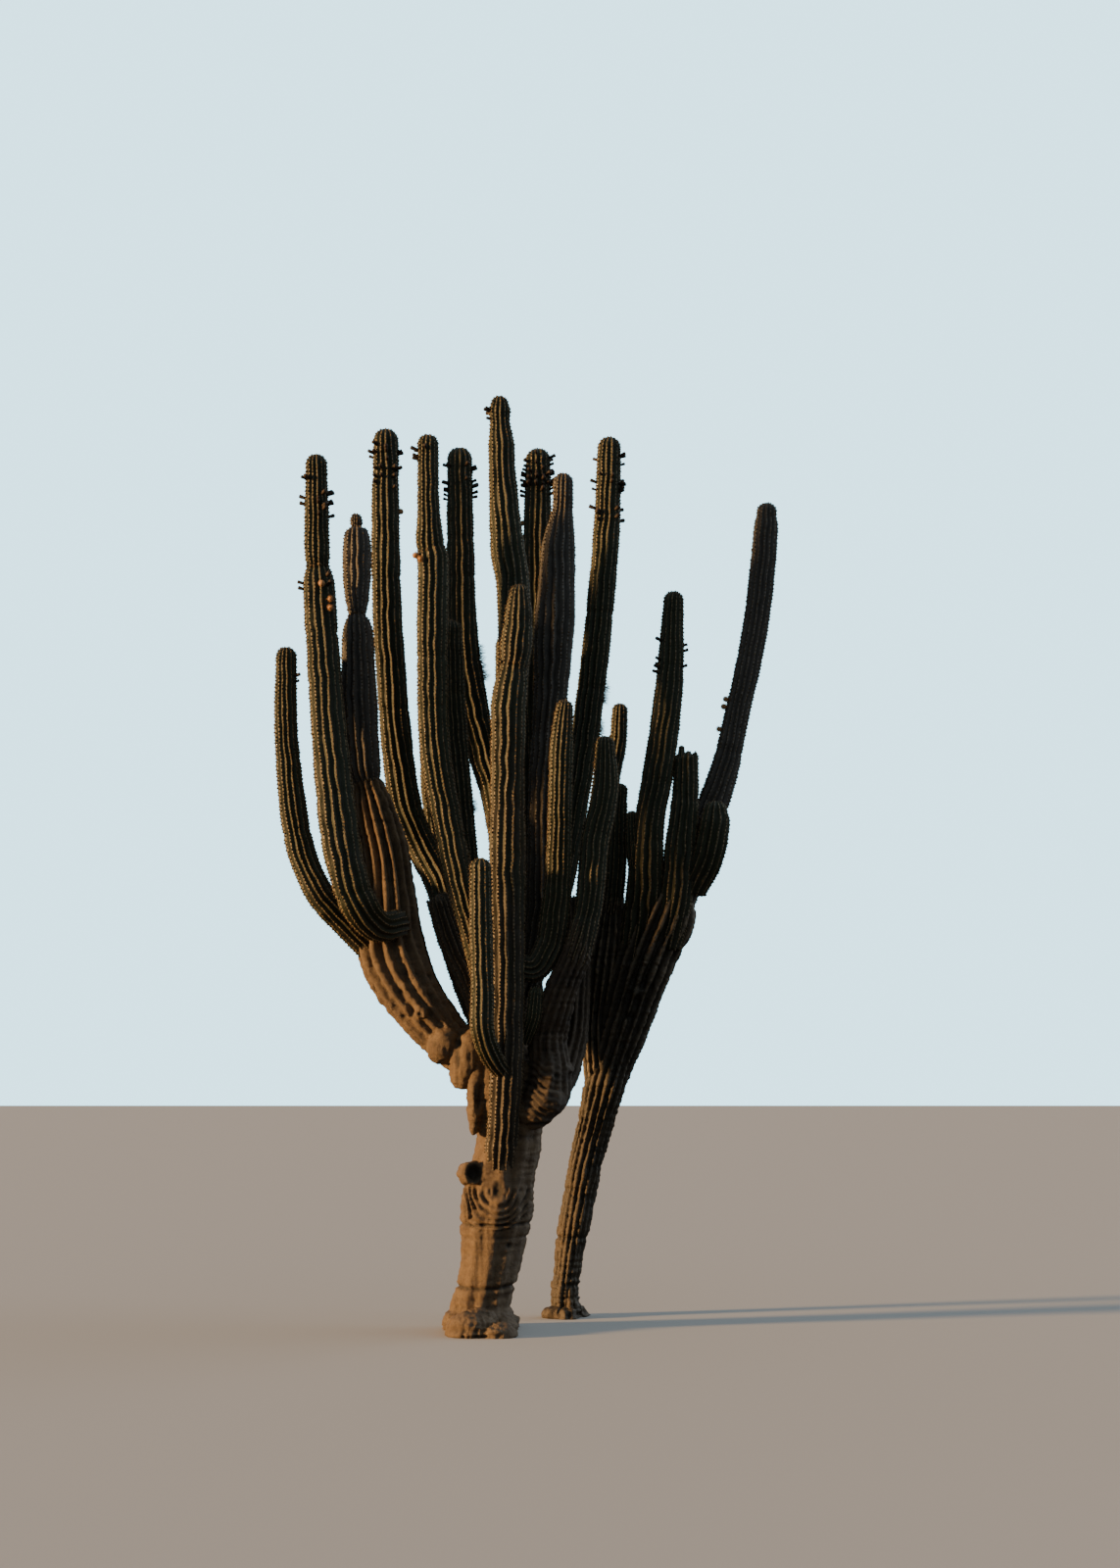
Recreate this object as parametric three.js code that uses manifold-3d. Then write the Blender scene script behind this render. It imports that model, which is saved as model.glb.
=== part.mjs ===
// A cardon, the elephant cactus: a woody trunk and a second stem behind it, their
// boughs, and the ribbed arms that stand up from them. Millimetres, +Z up. The origin
// is on the ground at the foot of the trunk, and the front of the plant faces -Y.
import * as THREE from "three";
import { mergeVertices } from "three/addons/utils/BufferGeometryUtils.js";
import Module from "manifold-3d";

const wasm = await Module();
wasm.setup();

// Driving dimensions
const CLEARANCE = 0.4; // between a limb and the one that carries it
const JOINT_GAP = 0.3; // between the two halves of a limb split at its bend
const TURN_PER_STEP = 0.45; // radians of bend that one length of limb may take
const MOST_STEPS = 4;
const ARM_RIBS = 10;
const SLIM_RIBS = 8;
const BARK_LOBES = 11;
const RIB_DEPTH = 0.17; // of the radius over the ribs, on green arms
const OLD_RIB_DEPTH = 0.1; // on the woody boughs, where the ribs are filling in
const BARK_DEPTH = 0.06; // on the trunk
const DOME_HEIGHT = 0.95; // of the radius, at a growing tip
const BROKEN_HEIGHT = 0.25; // of the radius, at a snapped end
const DOME_RING = 0.85; // radians up the dome, where its one ring lies
const BELOW_GROUND = 80; // length that the flat cut at the ground takes off
const CUT_BOX = 3000;
const BUD_LENGTH = 46;
const BUD_RADIUS = 13;
const BUD_SIDES = 4;
const BUD_ROOT = 16; // of that length, inside the rib
const BUD_RISE = 0.35; // how far a bud leans up for each mm out
const BUD_TAPER = 0.8; // its foot's radius, of its tip's
const BUD_SEAT = 0.92; // of the radius over the ribs, where its foot stands
const LUMP_SIDES = 8;
const LUMP_RINGS = 5;
const ELBOW_GROWTH = 0.1; // on an elbow's copy that cuts its neighbours
const NEARLY_LEVEL = 0.8; // a foot that runs this much along X takes its sides from Y

// The finish of each kind of skin
const bark = { color: 0x8a7358, roughness: 0.9, metalness: 0 };
const oldSkin = { color: 0x75664e, roughness: 0.88, metalness: 0 };
const greenSkin = { color: 0x545230, roughness: 0.75, metalness: 0 };
const greySkin = { color: 0x6f6757, roughness: 0.85, metalness: 0 };

// A spine row is x, y, z of the centre line and the radius over the ribs. The last row
// of a limb is its tip.
const woody = { skin: bark, ribs: BARK_LOBES, depth: BARK_DEPTH };
const old = { skin: oldSkin, ribs: ARM_RIBS, depth: OLD_RIB_DEPTH };
const green = { skin: greenSkin, ribs: ARM_RIBS, depth: RIB_DEPTH };
const slim = { skin: greenSkin, ribs: SLIM_RIBS, depth: RIB_DEPTH };
const grey = { skin: greySkin, ribs: ARM_RIBS, depth: RIB_DEPTH };

const trunks = [
  {
    name: "trunk",
    ...woody,
    onGround: true,
    spine: [
      [-40, 0, -BELOW_GROUND, 250],
      [-35, 0, 40, 240],
      [-40, 0, 160, 208],
      [-10, 0, 300, 203],
      [30, 0, 540, 213],
      [70, 0, 800, 246],
      [90, 0, 950, 238],
      [110, 0, 1100, 226],
      [150, 10, 1320, 220],
      [155, 20, 1580, 258],
      [130, 50, 1800, 275],
      [110, 70, 2060, 205],
    ],
  },
  {
    name: "trunk_behind",
    ...woody,
    skin: oldSkin,
    onGround: true,
    spine: [
      [540, 800, -BELOW_GROUND, 130],
      [545, 800, 60, 112],
      [550, 800, 200, 96],
      [680, 800, 1030, 122],
      [860, 800, 1750, 148],
      [990, 780, 2180, 185],
      [1120, 750, 2580, 212],
      [1270, 720, 2940, 226],
      [1370, 700, 3250, 150],
    ],
  },
];

// The feet of the limbs below lie inside what carries them, and are cut off there.
const limbs = [
  {
    name: "bough_left",
    ...old,
    spine: [
      [60, 20, 1760, 180],
      [-290, 40, 2050, 165],
      [-530, 70, 2350, 212],
      [-665, 100, 2650, 238],
      [-675, 100, 2950, 182],
      [-705, 100, 3280, 160],
      [-790, 100, 3640, 140],
      [-855, 100, 3870, 116],
    ],
  },
  {
    name: "bough_right",
    ...old,
    spine: [
      [200, -40, 1560, 130],
      [390, -110, 1640, 176],
      [440, -140, 1800, 150],
      [425, -150, 2020, 128],
      [510, -200, 2330, 108],
      [620, -220, 2600, 98],
      [700, -220, 2900, 95],
      [728, -220, 3140, 96],
      [752, -220, 3390, 97],
      [800, -220, 3600, 93],
      [824, -220, 3800, 88],
      [820, -220, 4105, 64],
    ],
    splitAt: 6,
    upper: { name: "arm_right_front", ...green },
  },
  {
    name: "arm_centre_front",
    ...green,
    spine: [
      [95, -95, 1060, 105],
      [105, -140, 1250, 116],
      [125, -195, 1450, 112],
      [145, -250, 1860, 115],
      [150, -250, 3380, 126],
      [150, -250, 3720, 116],
      [160, -250, 4330, 120],
      [180, -245, 4480, 112],
      [195, -240, 4590, 95],
      [210, -240, 4720, 109],
      [228, -240, 4960, 92],
      [234, -240, 5140, 64],
    ],
  },
  {
    name: "arm_centre_tall",
    ...green,
    spine: [
      [175, -130, 4200, 70],
      [185, -40, 4420, 100],
      [188, 90, 4992, 116],
      [176, 100, 5246, 117],
      [139, 100, 5497, 120],
      [108, 100, 5948, 96],
      [98, 100, 6200, 92],
      [88, 100, 6351, 71],
      [86, 100, 6441, 76],
      [84, 100, 6536, 62],
    ],
    buds: [{ below: 90, count: 4, turn: 0.3 }],
  },
  {
    name: "arm_front_short_elbow",
    ...slim,
    spine: [
      [130, -270, 1790, 62],
      [42, -420, 1920, 76],
      [-12, -490, 2079, 80],
      [-14, -500, 2297, 79],
      [-16, -500, 2525, 74],
      [-21, -500, 2734, 79],
      [-24, -500, 2933, 74],
      [-26, -500, 3241, 72],
    ],
    splitAt: 2,
    upper: { name: "arm_front_short", ...slim },
  },
  {
    name: "pup_front",
    ...slim,
    spine: [
      [270, -190, 2000, 44],
      [325, -255, 2160, 54],
      [352, -265, 2380, 50],
    ],
  },
  {
    name: "arm_far_left_elbow",
    ...green,
    spine: [
      [-800, 50, 2650, 100],
      [-1010, -40, 2870, 100],
      [-1150, -95, 3030, 101],
      [-1258, -80, 3253, 96],
      [-1317, -70, 3474, 98],
      [-1360, -70, 3795, 88],
      [-1390, -70, 4206, 80],
      [-1387, -70, 4743, 70],
    ],
    splitAt: 3,
    upper: { name: "arm_far_left", ...green },
    buds: [{ below: 190, count: 1, turn: 3.0 }],
  },
  {
    name: "arm_left_elbow",
    ...green,
    spine: [
      [-600, -20, 2830, 100],
      [-752, -190, 2808, 112],
      [-869, -310, 2953, 125],
      [-948, -340, 3197, 127],
      [-1004, -310, 3506, 132],
      [-1074, -220, 4115, 122],
      [-1136, -120, 4825, 112],
      [-1159, -100, 5187, 109],
      [-1167, -100, 5295, 77],
      [-1170, -120, 5500, 86],
      [-1170, -160, 6056, 73],
    ],
    splitAt: 3,
    upper: { name: "arm_left", ...green },
    buds: [
      { below: 150, count: 4, turn: 0.1 },
      { below: 300, count: 3, turn: 0.7 },
      { below: 850, count: 4, turn: 0.3 },
    ],
  },
  {
    name: "arm_left_jointed",
    ...grey,
    spine: [
      [-850, 105, 3830, 92],
      [-872, 100, 3990, 118],
      [-895, 100, 4330, 125],
      [-908, 100, 4800, 114],
      [-911, 100, 4950, 92],
      [-913, 110, 4997, 58],
      [-915, 130, 5076, 80],
      [-922, 190, 5270, 99],
      [-929, 250, 5556, 95],
      [-931, 255, 5628, 77],
      [-933, 258, 5654, 38],
      [-935, 260, 5750, 44],
    ],
  },
  {
    name: "bough_back_left",
    ...green,
    spine: [
      [70, 120, 1930, 118],
      [-70, 270, 2260, 116],
      [-170, 370, 2500, 113],
      [-260, 460, 2810, 112],
      [-355, 600, 3160, 114],
      [-485, 680, 3410, 115],
      [-605, 700, 3690, 118],
      [-735, 700, 4900, 108],
      [-760, 700, 5600, 104],
      [-760, 700, 6480, 92],
    ],
    splitAt: 4,
    upper: { name: "arm_back_left", ...green },
    buds: [
      { below: 160, count: 4, turn: 0.2 },
      { below: 330, count: 3, turn: 0.8 },
    ],
  },
  {
    name: "bough_back",
    ...old,
    ribs: SLIM_RIBS,
    spine: [
      [130, 90, 1720, 190],
      [155, 270, 1990, 186],
      [190, 430, 2240, 174],
      [225, 560, 2460, 160],
      [245, 640, 2680, 120],
    ],
  },
  {
    name: "bough_back_right",
    ...old,
    ribs: SLIM_RIBS,
    dome: BROKEN_HEIGHT,
    spine: [
      [170, 100, 1500, 140],
      [430, 280, 1700, 150],
      [560, 400, 1980, 135],
      [600, 480, 2300, 125],
      [612, 560, 2650, 115],
      [600, 620, 3060, 84],
    ],
  },
  {
    name: "bough_second_left",
    ...old,
    ribs: SLIM_RIBS,
    spine: [
      [860, 800, 1480, 80],
      [800, 795, 1850, 112],
      [780, 790, 2150, 104],
      [820, 780, 2500, 118],
      [860, 765, 2850, 112],
      [890, 750, 3120, 90],
    ],
  },
  {
    name: "stub_left",
    ...old,
    dome: BROKEN_HEIGHT,
    spine: [
      [30, 50, 2020, 90],
      [-120, 90, 2420, 94],
      [-255, 125, 2720, 93],
      [-350, 140, 3020, 84],
    ],
  },
  {
    name: "arm_mid_left",
    ...green,
    spine: [
      [80, -50, 2000, 88],
      [15, -110, 2370, 97],
      [-60, -180, 2700, 102],
      [-172, -200, 3093, 104],
      [-273, -190, 3546, 105],
      [-348, -200, 4018, 104],
      [-367, -200, 4610, 106],
      [-363, -200, 5251, 107],
      [-384, -220, 5447, 96],
      [-390, -250, 5640, 77],
      [-395, -250, 6165, 70],
    ],
    buds: [
      { below: 110, count: 3, turn: 0.4 },
      { below: 790, count: 4, turn: 0.1 },
    ],
  },
  {
    name: "arm_mid_left_behind",
    ...green,
    spine: [
      [-60, 260, 2300, 78],
      [-70, 320, 2600, 86],
      [-120, 375, 2940, 90],
      [-175, 400, 3440, 91],
      [-240, 400, 4200, 90],
      [-268, 400, 4950, 76],
    ],
  },
  {
    name: "arm_behind_left",
    ...green,
    spine: [
      [205, 490, 2420, 86],
      [185, 560, 2780, 102],
      [135, 650, 3240, 110],
      [45, 800, 3800, 112],
      [-60, 850, 4170, 115],
      [-140, 850, 4530, 117],
      [-200, 850, 5000, 105],
      [-230, 850, 6385, 92],
    ],
    buds: [
      { below: 130, count: 4, turn: 0.0 },
      { below: 290, count: 4, turn: 0.6 },
    ],
  },
  {
    name: "arm_behind_centre",
    ...green,
    spine: [
      [240, 590, 2500, 84],
      [320, 780, 2860, 104],
      [352, 950, 3300, 112],
      [342, 1000, 3900, 113],
      [340, 1000, 5200, 113],
      [348, 1000, 6420, 94],
    ],
    buds: [
      { below: 150, count: 4, turn: 0.3 },
      { below: 310, count: 3, turn: 0.9 },
    ],
  },
  {
    name: "arm_grey_top",
    ...grey,
    spine: [
      [215, 380, 2240, 88],
      [320, 370, 2600, 104],
      [372, 390, 2940, 112],
      [400, 430, 3860, 116],
      [438, 450, 4460, 122],
      [470, 450, 4990, 144],
      [488, 450, 5270, 132],
      [502, 450, 5590, 116],
      [528, 450, 5820, 78],
      [534, 450, 6090, 70],
    ],
  },
  {
    name: "arm_behind_right",
    ...green,
    spine: [
      [250, 540, 2420, 84],
      [400, 570, 2800, 98],
      [510, 620, 3170, 103],
      [610, 710, 3760, 104],
      [700, 750, 4300, 103],
      [842, 750, 5620, 98],
      [872, 750, 6435, 86],
    ],
    buds: [
      { below: 140, count: 4, turn: 0.5 },
      { below: 330, count: 4, turn: 0.0 },
    ],
  },
  {
    name: "arm_right_hooked_elbow",
    ...green,
    spine: [
      [190, -190, 2540, 84],
      [336, -190, 2515, 95],
      [438, -190, 2670, 99],
      [478, -220, 2908, 98],
      [500, -290, 3230, 86],
      [510, -360, 3562, 81],
      [522, -385, 4030, 77],
      [545, -385, 4325, 56],
    ],
    splitAt: 3,
    upper: { name: "arm_right_hooked", ...green },
  },
  {
    name: "arm_right_upright",
    ...green,
    spine: [
      [1010, 770, 2380, 110],
      [1075, 720, 2700, 134],
      [1120, 640, 3050, 136],
      [1138, 565, 3400, 122],
      [1160, 550, 3640, 107],
      [1212, 550, 3920, 110],
      [1298, 550, 4580, 101],
      [1334, 550, 5265, 72],
    ],
    buds: [{ below: 150, count: 4, turn: 0.2 }],
  },
  {
    name: "bough_far_right",
    ...green,
    spine: [
      [1290, 710, 2900, 150],
      [1400, 700, 3160, 142],
      [1512, 720, 3420, 128],
      [1630, 750, 3760, 117],
      [1722, 750, 4040, 104],
      [1790, 750, 4340, 93],
      [1940, 750, 5050, 93],
      [2014, 750, 5730, 92],
      [2024, 750, 5955, 72],
    ],
    splitAt: 3,
    upper: { name: "arm_far_right", ...green },
  },
  {
    name: "arm_right_broken",
    ...green,
    dome: BROKEN_HEIGHT,
    spine: [
      [1290, 650, 2700, 100],
      [1345, 600, 3000, 116],
      [1383, 570, 3430, 115],
      [1415, 570, 3760, 98],
      [1424, 570, 4085, 88],
    ],
  },
  {
    name: "arm_right_short",
    ...slim,
    spine: [
      [1475, 630, 3110, 100],
      [1580, 540, 3350, 112],
      [1628, 500, 3590, 108],
      [1630, 500, 3745, 88],
    ],
  },
  {
    name: "arm_slim_right",
    ...slim,
    spine: [
      [870, 770, 2900, 70],
      [860, 880, 3180, 68],
      [850, 990, 3560, 63],
      [895, 1000, 3980, 58],
      [940, 1000, 4240, 58],
      [958, 1000, 4530, 50],
    ],
  },
  {
    name: "arm_slim_low",
    ...slim,
    spine: [
      [885, 745, 2960, 72],
      [915, 710, 3180, 72],
      [930, 700, 3450, 68],
      [948, 700, 3900, 56],
    ],
  },
  {
    name: "stub_right",
    ...slim,
    spine: [
      [1200, 690, 2860, 66],
      [1090, 610, 3170, 64],
      [1042, 560, 3450, 57],
      [1030, 550, 3680, 42],
    ],
  },
  {
    name: "arm_back_centre",
    ...slim,
    spine: [
      [190, 460, 2300, 88],
      [160, 860, 2560, 100],
      [122, 1190, 3100, 104],
      [115, 1290, 3800, 104],
      [115, 1300, 5100, 90],
    ],
  },
  {
    name: "arm_back_right",
    ...slim,
    spine: [
      [220, 500, 2340, 84],
      [360, 900, 2640, 94],
      [450, 1250, 3160, 97],
      [470, 1390, 3900, 97],
      [470, 1400, 5200, 84],
    ],
  },
  {
    name: "arm_back_mid",
    ...slim,
    spine: [
      [-90, 300, 2340, 82],
      [-180, 680, 2580, 94],
      [-310, 1020, 3000, 96],
      [-410, 1200, 3600, 96],
      [-455, 1250, 4200, 95],
      [-460, 1250, 5000, 84],
    ],
  },
  {
    name: "arm_back_far_left",
    ...slim,
    spine: [
      [-690, 130, 2950, 84],
      [-800, 460, 3160, 87],
      [-925, 790, 3600, 87],
      [-965, 890, 4200, 86],
      [-965, 900, 4830, 72],
    ],
  },
  {
    name: "arm_back_far_right",
    ...slim,
    spine: [
      [1220, 820, 2760, 84],
      [1200, 1240, 3200, 84],
      [1225, 1470, 3700, 83],
      [1320, 1500, 4400, 68],
    ],
  },
];

// Lumps of old wood on the trunk, most of them roots at its foot: centre and half sizes.
const trunkLumps = [
  { at: [-80, -300, 20], size: [175, 165, 135] },
  { at: [80, -370, 0], size: [115, 120, 100] },
  { at: [-185, -50, 40], size: [105, 130, 120] },
  { at: [95, -150, 20], size: [120, 110, 95] },
  { at: [60, 190, 25], size: [150, 110, 100] },
  { at: [-90, -75, 985], size: [90, 110, 150] },
];
const brokenStub = { at: [-105, -60, 1095], radius: 72, length: 140, lean: Math.PI / 2.6 };

// Rings along a limb: centre, direction and radius, with a dome at the tip.
function ringsOf({ spine, dome = DOME_HEIGHT }) {
  const centres = spine.map(([x, y, z]) => new THREE.Vector3(x, y, z));
  const tip = centres.at(-1);
  const tipRadius = spine.at(-1)[3];
  const domeHeight = dome * tipRadius;
  const up = tip.clone().sub(centres.at(-2)).normalize();
  tip.addScaledVector(up, -domeHeight);
  const line = new THREE.CatmullRomCurve3(centres, false, "centripetal");
  const radii = new THREE.CatmullRomCurve3(
    spine.map(([, , , radius]) => new THREE.Vector3(radius, 0, 0)),
    false,
    "catmullrom",
    0.5,
  );
  const last = spine.length - 1;
  const rings = [];
  for (let i = 0; i < last; i += 1) {
    const turn = line.getTangent(i / last).angleTo(line.getTangent((i + 1) / last));
    const steps = Math.min(MOST_STEPS, 1 + Math.floor(turn / TURN_PER_STEP));
    for (let k = 0; k < steps; k += 1) {
      const t = (i + k / steps) / last;
      rings.push({
        row: k === 0 ? i : null,
        centre: line.getPoint(t),
        along: line.getTangent(t),
        radius: radii.getPoint(t).x,
      });
    }
  }
  rings.push({ row: last, centre: tip.clone(), along: up, radius: tipRadius });
  rings.push({
    row: null,
    centre: tip.clone().addScaledVector(up, domeHeight * Math.sin(DOME_RING)),
    along: up,
    radius: tipRadius * Math.cos(DOME_RING),
  });
  return { rings, apex: tip.clone().addScaledVector(up, domeHeight) };
}

// Sideways directions for each ring, carried along the limb without a twist.
function framesOf(rings) {
  const first = rings[0].along;
  const side = new THREE.Vector3(1, 0, 0);
  if (Math.abs(first.x) > NEARLY_LEVEL) side.set(0, 1, 0);
  side.addScaledVector(first, -side.dot(first)).normalize();
  const turn = new THREE.Quaternion();
  return rings.map((ring, i) => {
    if (i > 0) {
      turn.setFromUnitVectors(rings[i - 1].along, ring.along);
      side.applyQuaternion(turn);
    }
    return { side: side.clone(), front: ring.along.clone().cross(side) };
  });
}

// A closed ribbed tube over the rings from one place to another, grown all over.
function tubeOf({ rings, apex }, { ribs, depth }, from, to, grow, startGap) {
  const frames = framesOf(rings);
  const sides = 2 * ribs;
  const part = rings.slice(from, to + 1);
  const toTip = to === rings.length - 1;
  const positions = [];
  const triangles = [];
  let foot = null;
  let head = null;
  part.forEach((ring, j) => {
    const { side, front } = frames[from + j];
    const centre = ring.centre.clone();
    if (j === 0) centre.addScaledVector(ring.along, startGap - grow);
    if (j === part.length - 1 && !toTip) centre.addScaledVector(ring.along, grow);
    for (let i = 0; i < sides; i += 1) {
      const angle = (Math.PI * i) / ribs;
      const radius = ring.radius * (i % 2 ? 1 - depth : 1) + grow;
      const point = centre.clone();
      point.addScaledVector(side, radius * Math.cos(angle));
      point.addScaledVector(front, radius * Math.sin(angle));
      positions.push(point.x, point.y, point.z);
    }
    foot ??= centre;
    head = centre;
  });
  if (toTip) head = apex.clone().addScaledVector(part.at(-1).along, grow);
  const footAt = positions.length / 3;
  positions.push(foot.x, foot.y, foot.z, head.x, head.y, head.z);
  for (let j = 0; j < part.length; j += 1) {
    for (let i = 0; i < sides; i += 1) {
      const a = j * sides + i;
      const b = j * sides + ((i + 1) % sides);
      if (j === 0) triangles.push(footAt, b, a);
      if (j === part.length - 1) triangles.push(footAt + 1, a, b);
      else triangles.push(a, b, b + sides, a, b + sides, a + sides);
    }
  }
  const mesh = new wasm.Mesh({
    numProp: 3,
    vertProperties: new Float32Array(positions),
    triVerts: new Uint32Array(triangles),
  });
  return new wasm.Manifold(mesh);
}

// A three.js shape, where it stands, as a solid.
function solidOf(geometry) {
  geometry.deleteAttribute("normal");
  geometry.deleteAttribute("uv");
  const merged = mergeVertices(geometry, 1e-3);
  const mesh = new wasm.Mesh({
    numProp: 3,
    vertProperties: merged.attributes.position.array,
    triVerts: new Uint32Array(merged.index.array),
  });
  return new wasm.Manifold(mesh);
}

function lump({ at, size }, grow) {
  const ball = new THREE.SphereGeometry(1, LUMP_SIDES, LUMP_RINGS);
  ball.scale(...size.map((half) => half + grow));
  ball.translate(...at);
  return solidOf(ball);
}

function stubOnTrunk(grow) {
  const { at, radius, length, lean } = brokenStub;
  const across = radius + grow;
  const stub = new THREE.CylinderGeometry(across, across, length + 2 * grow, LUMP_SIDES);
  stub.rotateZ(lean);
  stub.translate(...at);
  return solidOf(stub);
}

// What lies below the ground is cut off flat.
function cutAtGround(solid) {
  const box = new THREE.BoxGeometry(CUT_BOX, CUT_BOX, CUT_BOX);
  box.translate(0, 0, -CUT_BOX / 2);
  return solid.subtract(solidOf(box));
}

function trunkSolid(limb, grow) {
  const run = ringsOf(limb);
  let solid = tubeOf(run, limb, 0, run.rings.length - 1, grow, 0);
  if (limb.name === "trunk") {
    for (const swelling of trunkLumps) solid = solid.add(lump(swelling, grow));
    solid = solid.add(stubOnTrunk(grow));
  }
  return limb.onGround ? cutAtGround(solid) : solid;
}

// One ring of flower buds, standing out of the ribs at a distance below the tip.
function budsOn({ rings, apex }, { below, count, turn }) {
  const frames = framesOf(rings);
  const at = rings.findLastIndex((ring) => ring.centre.distanceTo(apex) >= below);
  const low = rings[at];
  const high = rings[at + 1];
  const lowReach = low.centre.distanceTo(apex);
  const highReach = high.centre.distanceTo(apex);
  const share = (lowReach - below) / (lowReach - highReach);
  const centre = low.centre.clone().lerp(high.centre, share);
  const radius = low.radius + (high.radius - low.radius) * share;
  const { side, front } = frames[at];
  return Array.from({ length: count }, (_, i) => {
    const angle = turn + (2 * Math.PI * i) / count;
    const out = side.clone().multiplyScalar(Math.cos(angle));
    out.addScaledVector(front, Math.sin(angle));
    const lean = out.clone().addScaledVector(low.along, BUD_RISE).normalize();
    const foot = BUD_RADIUS * BUD_TAPER;
    const bud = new THREE.CylinderGeometry(BUD_RADIUS, foot, BUD_LENGTH, BUD_SIDES);
    const upright = new THREE.Vector3(0, 1, 0);
    bud.applyQuaternion(new THREE.Quaternion().setFromUnitVectors(upright, lean));
    const from = centre.clone().addScaledVector(out, radius * BUD_SEAT - BUD_ROOT);
    from.addScaledVector(lean, BUD_LENGTH / 2);
    bud.translate(from.x, from.y, from.z);
    return solidOf(bud);
  });
}

function largest(solid) {
  return solid.decompose().reduce((a, b) => (b.volume() > a.volume() ? b : a));
}

function boxesMeet(a, b) {
  const p = a.boundingBox();
  const q = b.boundingBox();
  return [0, 1, 2].every((i) => p.min[i] < q.max[i] && q.min[i] < p.max[i]);
}

// The limbs are made in order, and each is cut clear of all that stand already.
const standing = [];
const cactus = new THREE.Group();

function place(name, skin, solid, grown) {
  let clear = solid;
  for (const other of standing) {
    if (boxesMeet(clear, other)) clear = clear.subtract(other);
  }
  clear = largest(clear);
  standing.push(grown);
  const { vertProperties, triVerts } = clear.getMesh();
  const geometry = new THREE.BufferGeometry();
  geometry.setAttribute("position", new THREE.BufferAttribute(vertProperties, 3));
  geometry.setIndex(new THREE.BufferAttribute(triVerts, 1));
  geometry.computeVertexNormals();
  const mesh = new THREE.Mesh(geometry, new THREE.MeshStandardMaterial(skin));
  mesh.name = name;
  cactus.add(mesh);
}

for (const trunk of trunks) {
  place(trunk.name, trunk.skin, trunkSolid(trunk, 0), trunkSolid(trunk, CLEARANCE));
}

for (const limb of limbs) {
  const run = ringsOf(limb);
  const end = run.rings.length - 1;
  const bend = limb.splitAt ? run.rings.findIndex((ring) => ring.row === limb.splitAt) : end;
  const lower = tubeOf(run, limb, 0, bend, 0, 0);
  const upperLook = limb.upper ?? limb;
  const buds = (limb.buds ?? []).flatMap((budRing) => budsOn(run, budRing));
  if (limb.splitAt) {
    place(limb.name, limb.skin, lower, tubeOf(run, limb, 0, bend, ELBOW_GROWTH, 0));
    let shaft = tubeOf(run, upperLook, bend, end, 0, JOINT_GAP);
    for (const bud of buds) shaft = shaft.add(bud);
    place(upperLook.name, upperLook.skin, shaft, tubeOf(run, upperLook, bend, end, CLEARANCE, 0));
  } else {
    let whole = lower;
    for (const bud of buds) whole = whole.add(bud);
    place(limb.name, limb.skin, whole, tubeOf(run, limb, 0, end, CLEARANCE, 0));
  }
}

export default cactus;
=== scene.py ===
# %% [markdown]
# # A cardon, the elephant cactus
# A cardon is a column cactus that branches into a crowd of ribbed arms. This one has an
# old woody trunk, a second stem behind it, and some thirty arms up to 6.5 metres high.
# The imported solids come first, as a fixed frame. Every piece made below takes the place
# of the solids of the same name, so that nothing has to be fitted by eye.

# %% Load the frame
import math
import random
import bpy
import numpy as np
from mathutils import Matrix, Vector, noise


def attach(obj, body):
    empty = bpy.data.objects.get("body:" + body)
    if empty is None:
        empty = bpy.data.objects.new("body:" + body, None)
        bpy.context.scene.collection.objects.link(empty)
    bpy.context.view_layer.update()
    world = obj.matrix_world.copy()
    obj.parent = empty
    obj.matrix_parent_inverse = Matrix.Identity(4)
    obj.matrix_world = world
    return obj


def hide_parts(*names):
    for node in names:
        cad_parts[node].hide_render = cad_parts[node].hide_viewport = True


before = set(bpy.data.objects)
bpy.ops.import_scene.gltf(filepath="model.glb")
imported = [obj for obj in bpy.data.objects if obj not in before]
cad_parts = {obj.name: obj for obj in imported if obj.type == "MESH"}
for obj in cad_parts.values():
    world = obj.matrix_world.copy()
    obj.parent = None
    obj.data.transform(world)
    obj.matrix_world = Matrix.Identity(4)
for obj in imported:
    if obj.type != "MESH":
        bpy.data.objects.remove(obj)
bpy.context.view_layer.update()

MM = 0.001

# %% [markdown]
# ## Camera
# The plant is seen from the front with a level camera at the height of a person's eyes.
# A level camera keeps the arms upright, and the lens is shifted up instead of tilted,
# as a view camera does it, so that the whole crown fits in.

# %% Camera
EYE = (0.51, -15.17, 1.86)
LENS_MM = 50
SENSOR_MM = 36
LENS_RISE = 0.178
FARTHEST_SEEN = 200

bpy.ops.object.camera_add(location=EYE, rotation=(math.pi / 2, 0, 0))
camera = bpy.context.object
camera.data.lens = LENS_MM
camera.data.sensor_width = SENSOR_MM
camera.data.shift_y = LENS_RISE
camera.data.clip_end = FARTHEST_SEEN
bpy.context.scene.camera = camera
print("camera", tuple(round(v, 2) for v in camera.location))

# %% [markdown]
# ## Light and floor
# One warm, soft sun low on the left gives every rib a lit flank and a dark one, which is
# what makes a ribbed stem read as round. A much weaker and wider light from behind on the
# right keeps the far side from going black. The world is a bright backdrop where the camera
# sees it and a weaker light everywhere else, so that the shade stays deep. For the same
# reason the plain pale floor is dark to every ray that doesn't come from the camera.

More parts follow.
